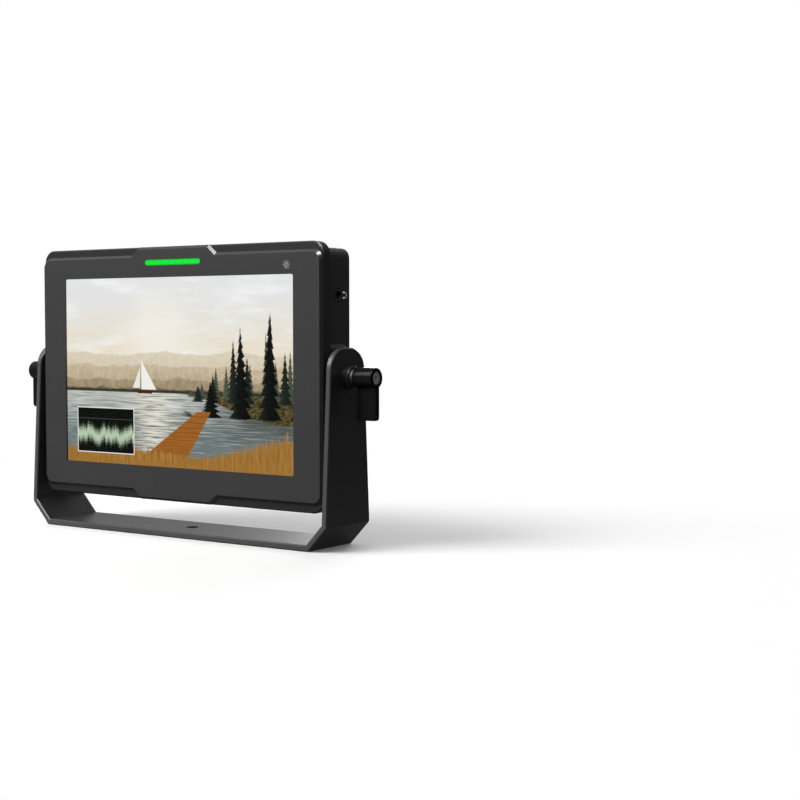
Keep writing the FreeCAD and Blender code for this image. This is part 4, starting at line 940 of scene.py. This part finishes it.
# %% Figures and letters
glyphs = {
    "1": [[(0.10, 0.76), (0.34, 1.0), (0.34, 0.0)]],
    "2": [np.concatenate([arc((0.3, 0.70), 0.30, 175, -38, 16), [(0.0, 0.0), (0.62, 0.0)]])],
    "3": [np.concatenate([arc((0.28, 0.76), 0.24, 150, -80, 14), arc((0.28, 0.26), 0.28, 80, -150, 16)])],
    "4": [[(0.46, 0.0), (0.46, 1.0), (0.0, 0.28), (0.66, 0.28)]],
    "O": [arc((0.32, 0.5), 0.42, 0, 360, 33)],
    "N": [[(0.0, 0.0), (0.0, 1.0)], [(0.0, 1.0), (0.6, 0.0)], [(0.6, 0.0), (0.6, 1.0)]],
    "F": [[(0.0, 0.0), (0.0, 1.0)], [(0.0, 0.95), (0.55, 0.95)], [(0.0, 0.52), (0.46, 0.52)]]}


fine_mm, bold_mm = 0.26, 0.30
letter_pitch_share, arrow_tail_share = 0.92, 0.7


def word(face, text, left, bottom, height, width=fine_mm):
    """Letters side by side, each a set of strokes scaled to the height."""
    solids = []
    for number, letter in enumerate(text):
        corner = (left + number * letter_pitch_share * height, bottom)
        solids += [stroke(face, np.asarray(path, float) * height + corner, width) for path in glyphs[letter]]
    return solids


def arrow(face, middle, point, size, hollow=False):
    """Triangle that points left (-1) or right (+1), filled or as an outline."""
    a, b = middle
    tail = a - point * size * arrow_tail_share
    corners = np.array([(a + point * size, b), (tail, b + size), (tail, b - size)])
    if hollow:
        return stroke(face, corners, fine_mm, closed=True)
    return patch(face, corners[::point])


# %% Marks beside the sockets
marks = []
figure_mm, arrow_mm = 1.9, 0.95
flat_low, flat_high = span("hdmi_shells")
flat_half_mm = 3.0
flat_levels_mm = (flat_high[2] - flat_half_mm, flat_low[2] + flat_half_mm)


def numbered(number, level, arrow_at, figure_at, point, hollow):
    """A socket's arrow and its number, both centred on the socket's level."""
    rise = level - pivot_mm
    figure = word(rear_face, str(number), figure_at, rise - figure_mm / 2, figure_mm)
    return [arrow(rear_face, (arrow_at, rise), point, arrow_mm, hollow)] + figure


for number in (1, 2, 3, 4):
    output = number % 2 == 1
    level = bnc_top_mm - (number - 1) * bnc_pitch_mm
    marks += numbered(number, level, -61.4, -59.4, 1 if output else -1, output)
for number, level in enumerate(flat_levels_mm, 1):
    marks += numbered(number, level, 61.7, 58.0, -1 if number == 1 else 1, number == 1)
print("arrows and figures", len(marks))

# %% Marks beside the jacks, the switch and the inlet
tally_at, dc_at, dc_wide_mm, dash_mm = (59.6, -7.1), (57.6, -44.9), 3.8, 0.9
dash_level = dc_at[1] - 1.1
marks += [patch(rear_face, arc(tally_at, 0.9, 0, 345, 24)), ring(rear_face, tally_at, 1.5, 0.24)]
marks += word(rear_face, "ON", 57.2, -22.4, figure_mm, bold_mm)
marks += word(rear_face, "OFF", 57.0, -31.0, figure_mm, bold_mm)
marks += [bar(rear_face, dc_at[0], dc_at[0] + dc_wide_mm, dc_at[1], dc_at[1] + bold_mm)]
marks += [bar(rear_face, a, a + dash_mm, dash_level, dash_level + bold_mm)
          for a in dc_at[0] + np.linspace(0, dc_wide_mm - dash_mm, 3)]
marks += [arrow(rear_face, (-60.8, -44.9), 1, 0.8), arrow(rear_face, (-58.9, -46.6), -1, 0.8)]
print("marks beside the sockets", len(marks))

# %% Marks under the buttons
# An arrow's tip reaches further than its tail, so it is set back a little.
button_row_mm, cross_mm, arrow_back_mm = 56.8, 0.28, 0.1


def under(button):
    """The rear face, with its origin below a button on the row that the marks share."""
    return Face((centre(button)[0], rear_mm, pivot_mm + button_row_mm), (-1, 0, 0), (0, 0, 1))


marks += [bar(under("menu_button"), -1.2, 1.2, b - fine_mm / 2, b + fine_mm / 2) for b in (-0.7, 0, 0.7)]
marks += [arrow(under("left_button"), (arrow_back_mm, 0), -1, 0.9)]
marks += [arrow(under("right_button"), (-arrow_back_mm, 0), 1, 0.9)]
marks += [stroke(under("exit_button"), [(-a, -0.8), (a, 0.8)], cross_mm) for a in (-0.8, 0.8)]
marks += [ring(under("function_button"), (0, 0), 0.95, fine_mm),
          patch(under("function_button"), arc((0, 0), 0.35, 0, 340, 18))]
doorway = [(0.1, 0.9), (1.4, 0.9), (1.4, -0.9), (0.1, -0.9)]
marks += [stroke(under("input_button"), doorway, fine_mm),
          bar(under("input_button"), -1.6, -0.1, -fine_mm / 2, fine_mm / 2),
          arrow(under("input_button"), (-arrow_back_mm, 0), 1, 0.55)]
marks += [stroke(under("power_button"), arc((0, -0.1), 0.9, 125, 415, 30), cross_mm),
          bar(under("power_button"), -fine_mm / 2, fine_mm / 2, 0, 1.15)]
piece("rear_marks", marks, white_ink, "monitor")

# %% Marks on the front, the side and the rocker
sun_at = np.array((71.6, 52.4))
sun = [ring(front_face, sun_at, 0.85, bold_mm)]
sun += [stroke(front_face, sun_at + np.outer((1.4, 2.1), (math.cos(t), math.sin(t))), cross_mm)
        for t in np.arange(8) * math.pi / 4]
piece("brightness_mark", sun, white_ink, "monitor")
band_y, band_rise = phone_y_mm + 4.9, phone_z_mm - pivot_mm
band_mm, ear_mm, ear_long_mm = 1.25, 0.72, 1.6
ears = [stroke(side_face, arc((band_y, band_rise), band_mm, -90, 90, 24), bold_mm)]
ears += [bar(side_face, band_y - ear_long_mm, band_y, b - ear_mm / 2, b + ear_mm / 2)
         for b in (band_rise - band_mm, band_rise + band_mm)]
# This ink glows a little: painted light that lifts the mark on the dark side.
piece("headphone_mark", ears, ink("side_ink_painted_glow", "e6e6e4", 0.3), "monitor")

swing, rocker_ink_mm = math.radians(20), 0.34
rocker_x, _, rocker_z = centre("switch_frame")
upper_at = (rocker_x, rear_mm + 0.0757, rocker_z + 3.2)
lower_at = (rocker_x, rear_mm + 1.065, rocker_z - 2.44)
rocker_upper = Face(upper_at, (-1, 0, 0), (0, 0, 1))
rocker_lower = Face(lower_at, (-1, 0, 0), (0, -math.sin(swing), math.cos(swing)))
on_mark = bar(rocker_upper, -rocker_ink_mm / 2, rocker_ink_mm / 2, -1.2, 1.2)
off_mark = ring(rocker_lower, (0, 0), 1.15, rocker_ink_mm)
piece("rocker_marks", [on_mark, off_mark], white_ink, "rocker")

# %% [markdown]
# ## Small metal and bores
# Each flat socket holds two rows of gilt springs, the data socket a row of four and two wider clips. A spring
# is a thin strip that follows a path with a hump near its tip, so a stroke makes it, laid on its side.
# The bores of the round jacks are lined with black plastic, and the power inlet's thread shows as a ridge
# on a helix.


# %% Spring contacts
def spring(x, width, path, thick):
    """A strip of the given width along X that follows a path of (y, z) points."""
    side = Face((x - width / 2, 0, 0), (0, 1, 0), (0, 0, 1))
    return stroke(side, path, thick, low=0.0, high=width)


def humped(y0, y1, level, lift):
    """Path at a level that rises in a hump before its tip: lift times the sine of pi t squared."""
    t = np.linspace(0, 1, 12)
    return np.stack([y0 + (y1 - y0) * t, level + lift * np.sin(np.pi * t ** 2)], axis=1)


flat_x, root_y, tip_y = centre("hdmi_shells")[0], rear_mm - 7.1, rear_mm - 1.3
row_mm, hump_mm = 0.80, 0.35
spring_wide_mm, spring_thick_mm = 0.5, 0.18
flat_springs = []
for level in flat_levels_mm:
    for count, side in ((10, 1), (9, -1)):
        path = humped(root_y, tip_y, level + side * row_mm, side * hump_mm)
        places = flat_x + np.arange(count) - (count - 1) / 2
        flat_springs += [spring(x, spring_wide_mm, path, spring_thick_mm) for x in places]
piece("flat_socket_springs", flat_springs, gold, "monitor")
data_x, _, data_z = centre("usb_shell")
contact = humped(root_y, rear_mm - 0.6, data_z + 0.05, -0.75)
clip = humped(root_y + 1, rear_mm - 0.2, data_z - 2.88, 0.6)
contact_wide_mm, clip_wide_mm, strip_mm = 1.1, 1.8, 0.2
data_springs = [spring(data_x + x, contact_wide_mm, contact, strip_mm) for x in (-3.5, -1.0, 1.0, 3.5)]
data_springs += [spring(data_x + x, clip_wide_mm, clip, strip_mm) for x in (-3.4, 3.4)]
piece("data_socket_springs", data_springs, nickel, "monitor")


# %% Linings and thread
def lining(x, z, inner, outer, y0, y1, steps=48):
    """Tube along Y: the four corners of its wall's section turned about the axis."""
    section = np.array([(inner, y0), (outer, y0), (outer, y1), (inner, y1)])
    angle = np.linspace(0, 2 * np.pi, steps, endpoint=False)[:, None]
    radius = section[None, :, 0]
    points = np.stack([x + radius * np.cos(angle), section[None, :, 1] + 0 * angle,
                       z + radius * np.sin(angle)], axis=-1)
    return points.reshape(-1, 3), grid_faces(steps, 4, True, True)


def thread(x, z, radius, depth, pitch, y0, y1, per_turn=48):
    """Ridge on a helix: a triangle whose tip stands out by depth, shrinking to nothing at both ends."""
    turns = (y1 - y0) / pitch
    t = np.linspace(0, 1, int(per_turn * turns) + 1)[:, None]
    swell = np.sin(np.pi * t) ** 0.4 + 0.001
    offset = np.array([[-0.5, 0.0, 0.5]]) * pitch * 0.9 * swell
    reach = np.array([[-0.05, 1.0, -0.05]]) * depth * swell
    angle = 2 * np.pi * turns * t
    points = np.stack([x + (radius + reach) * np.cos(angle), y0 + (y1 - y0) * t + offset,
                       z + (radius + reach) * np.sin(angle)], axis=-1)
    last = 3 * (len(t) - 1)
    return points.reshape(-1, 3), grid_faces(len(t), 3, False, True) + [[2, 1, 0], [last, last + 1, last + 2]]


tally_x, _, tally_z = centre("tally_jack")
inlet_x, _, inlet_z = centre("dc_pin")
tally_wall_mm, inlet_wall_mm = (1.66, 1.79), (2.62, 2.79)
thread_radius_mm, thread_depth_mm, thread_pitch_mm = 3.88, 0.16, 0.45
piece("jack_linings", [lining(tally_x, tally_z, *tally_wall_mm, rear_mm - 9.1, rear_mm + 0.25),
                       lining(inlet_x, inlet_z, *inlet_wall_mm, rear_mm - 5.9, rear_mm + 2.65)],
      bore_black, "monitor")
turns = thread(inlet_x, inlet_z, thread_radius_mm, thread_depth_mm, thread_pitch_mm,
               rear_mm + 2.05, rear_mm + 2.75)
piece("inlet_thread", [turns], nickel, "monitor")
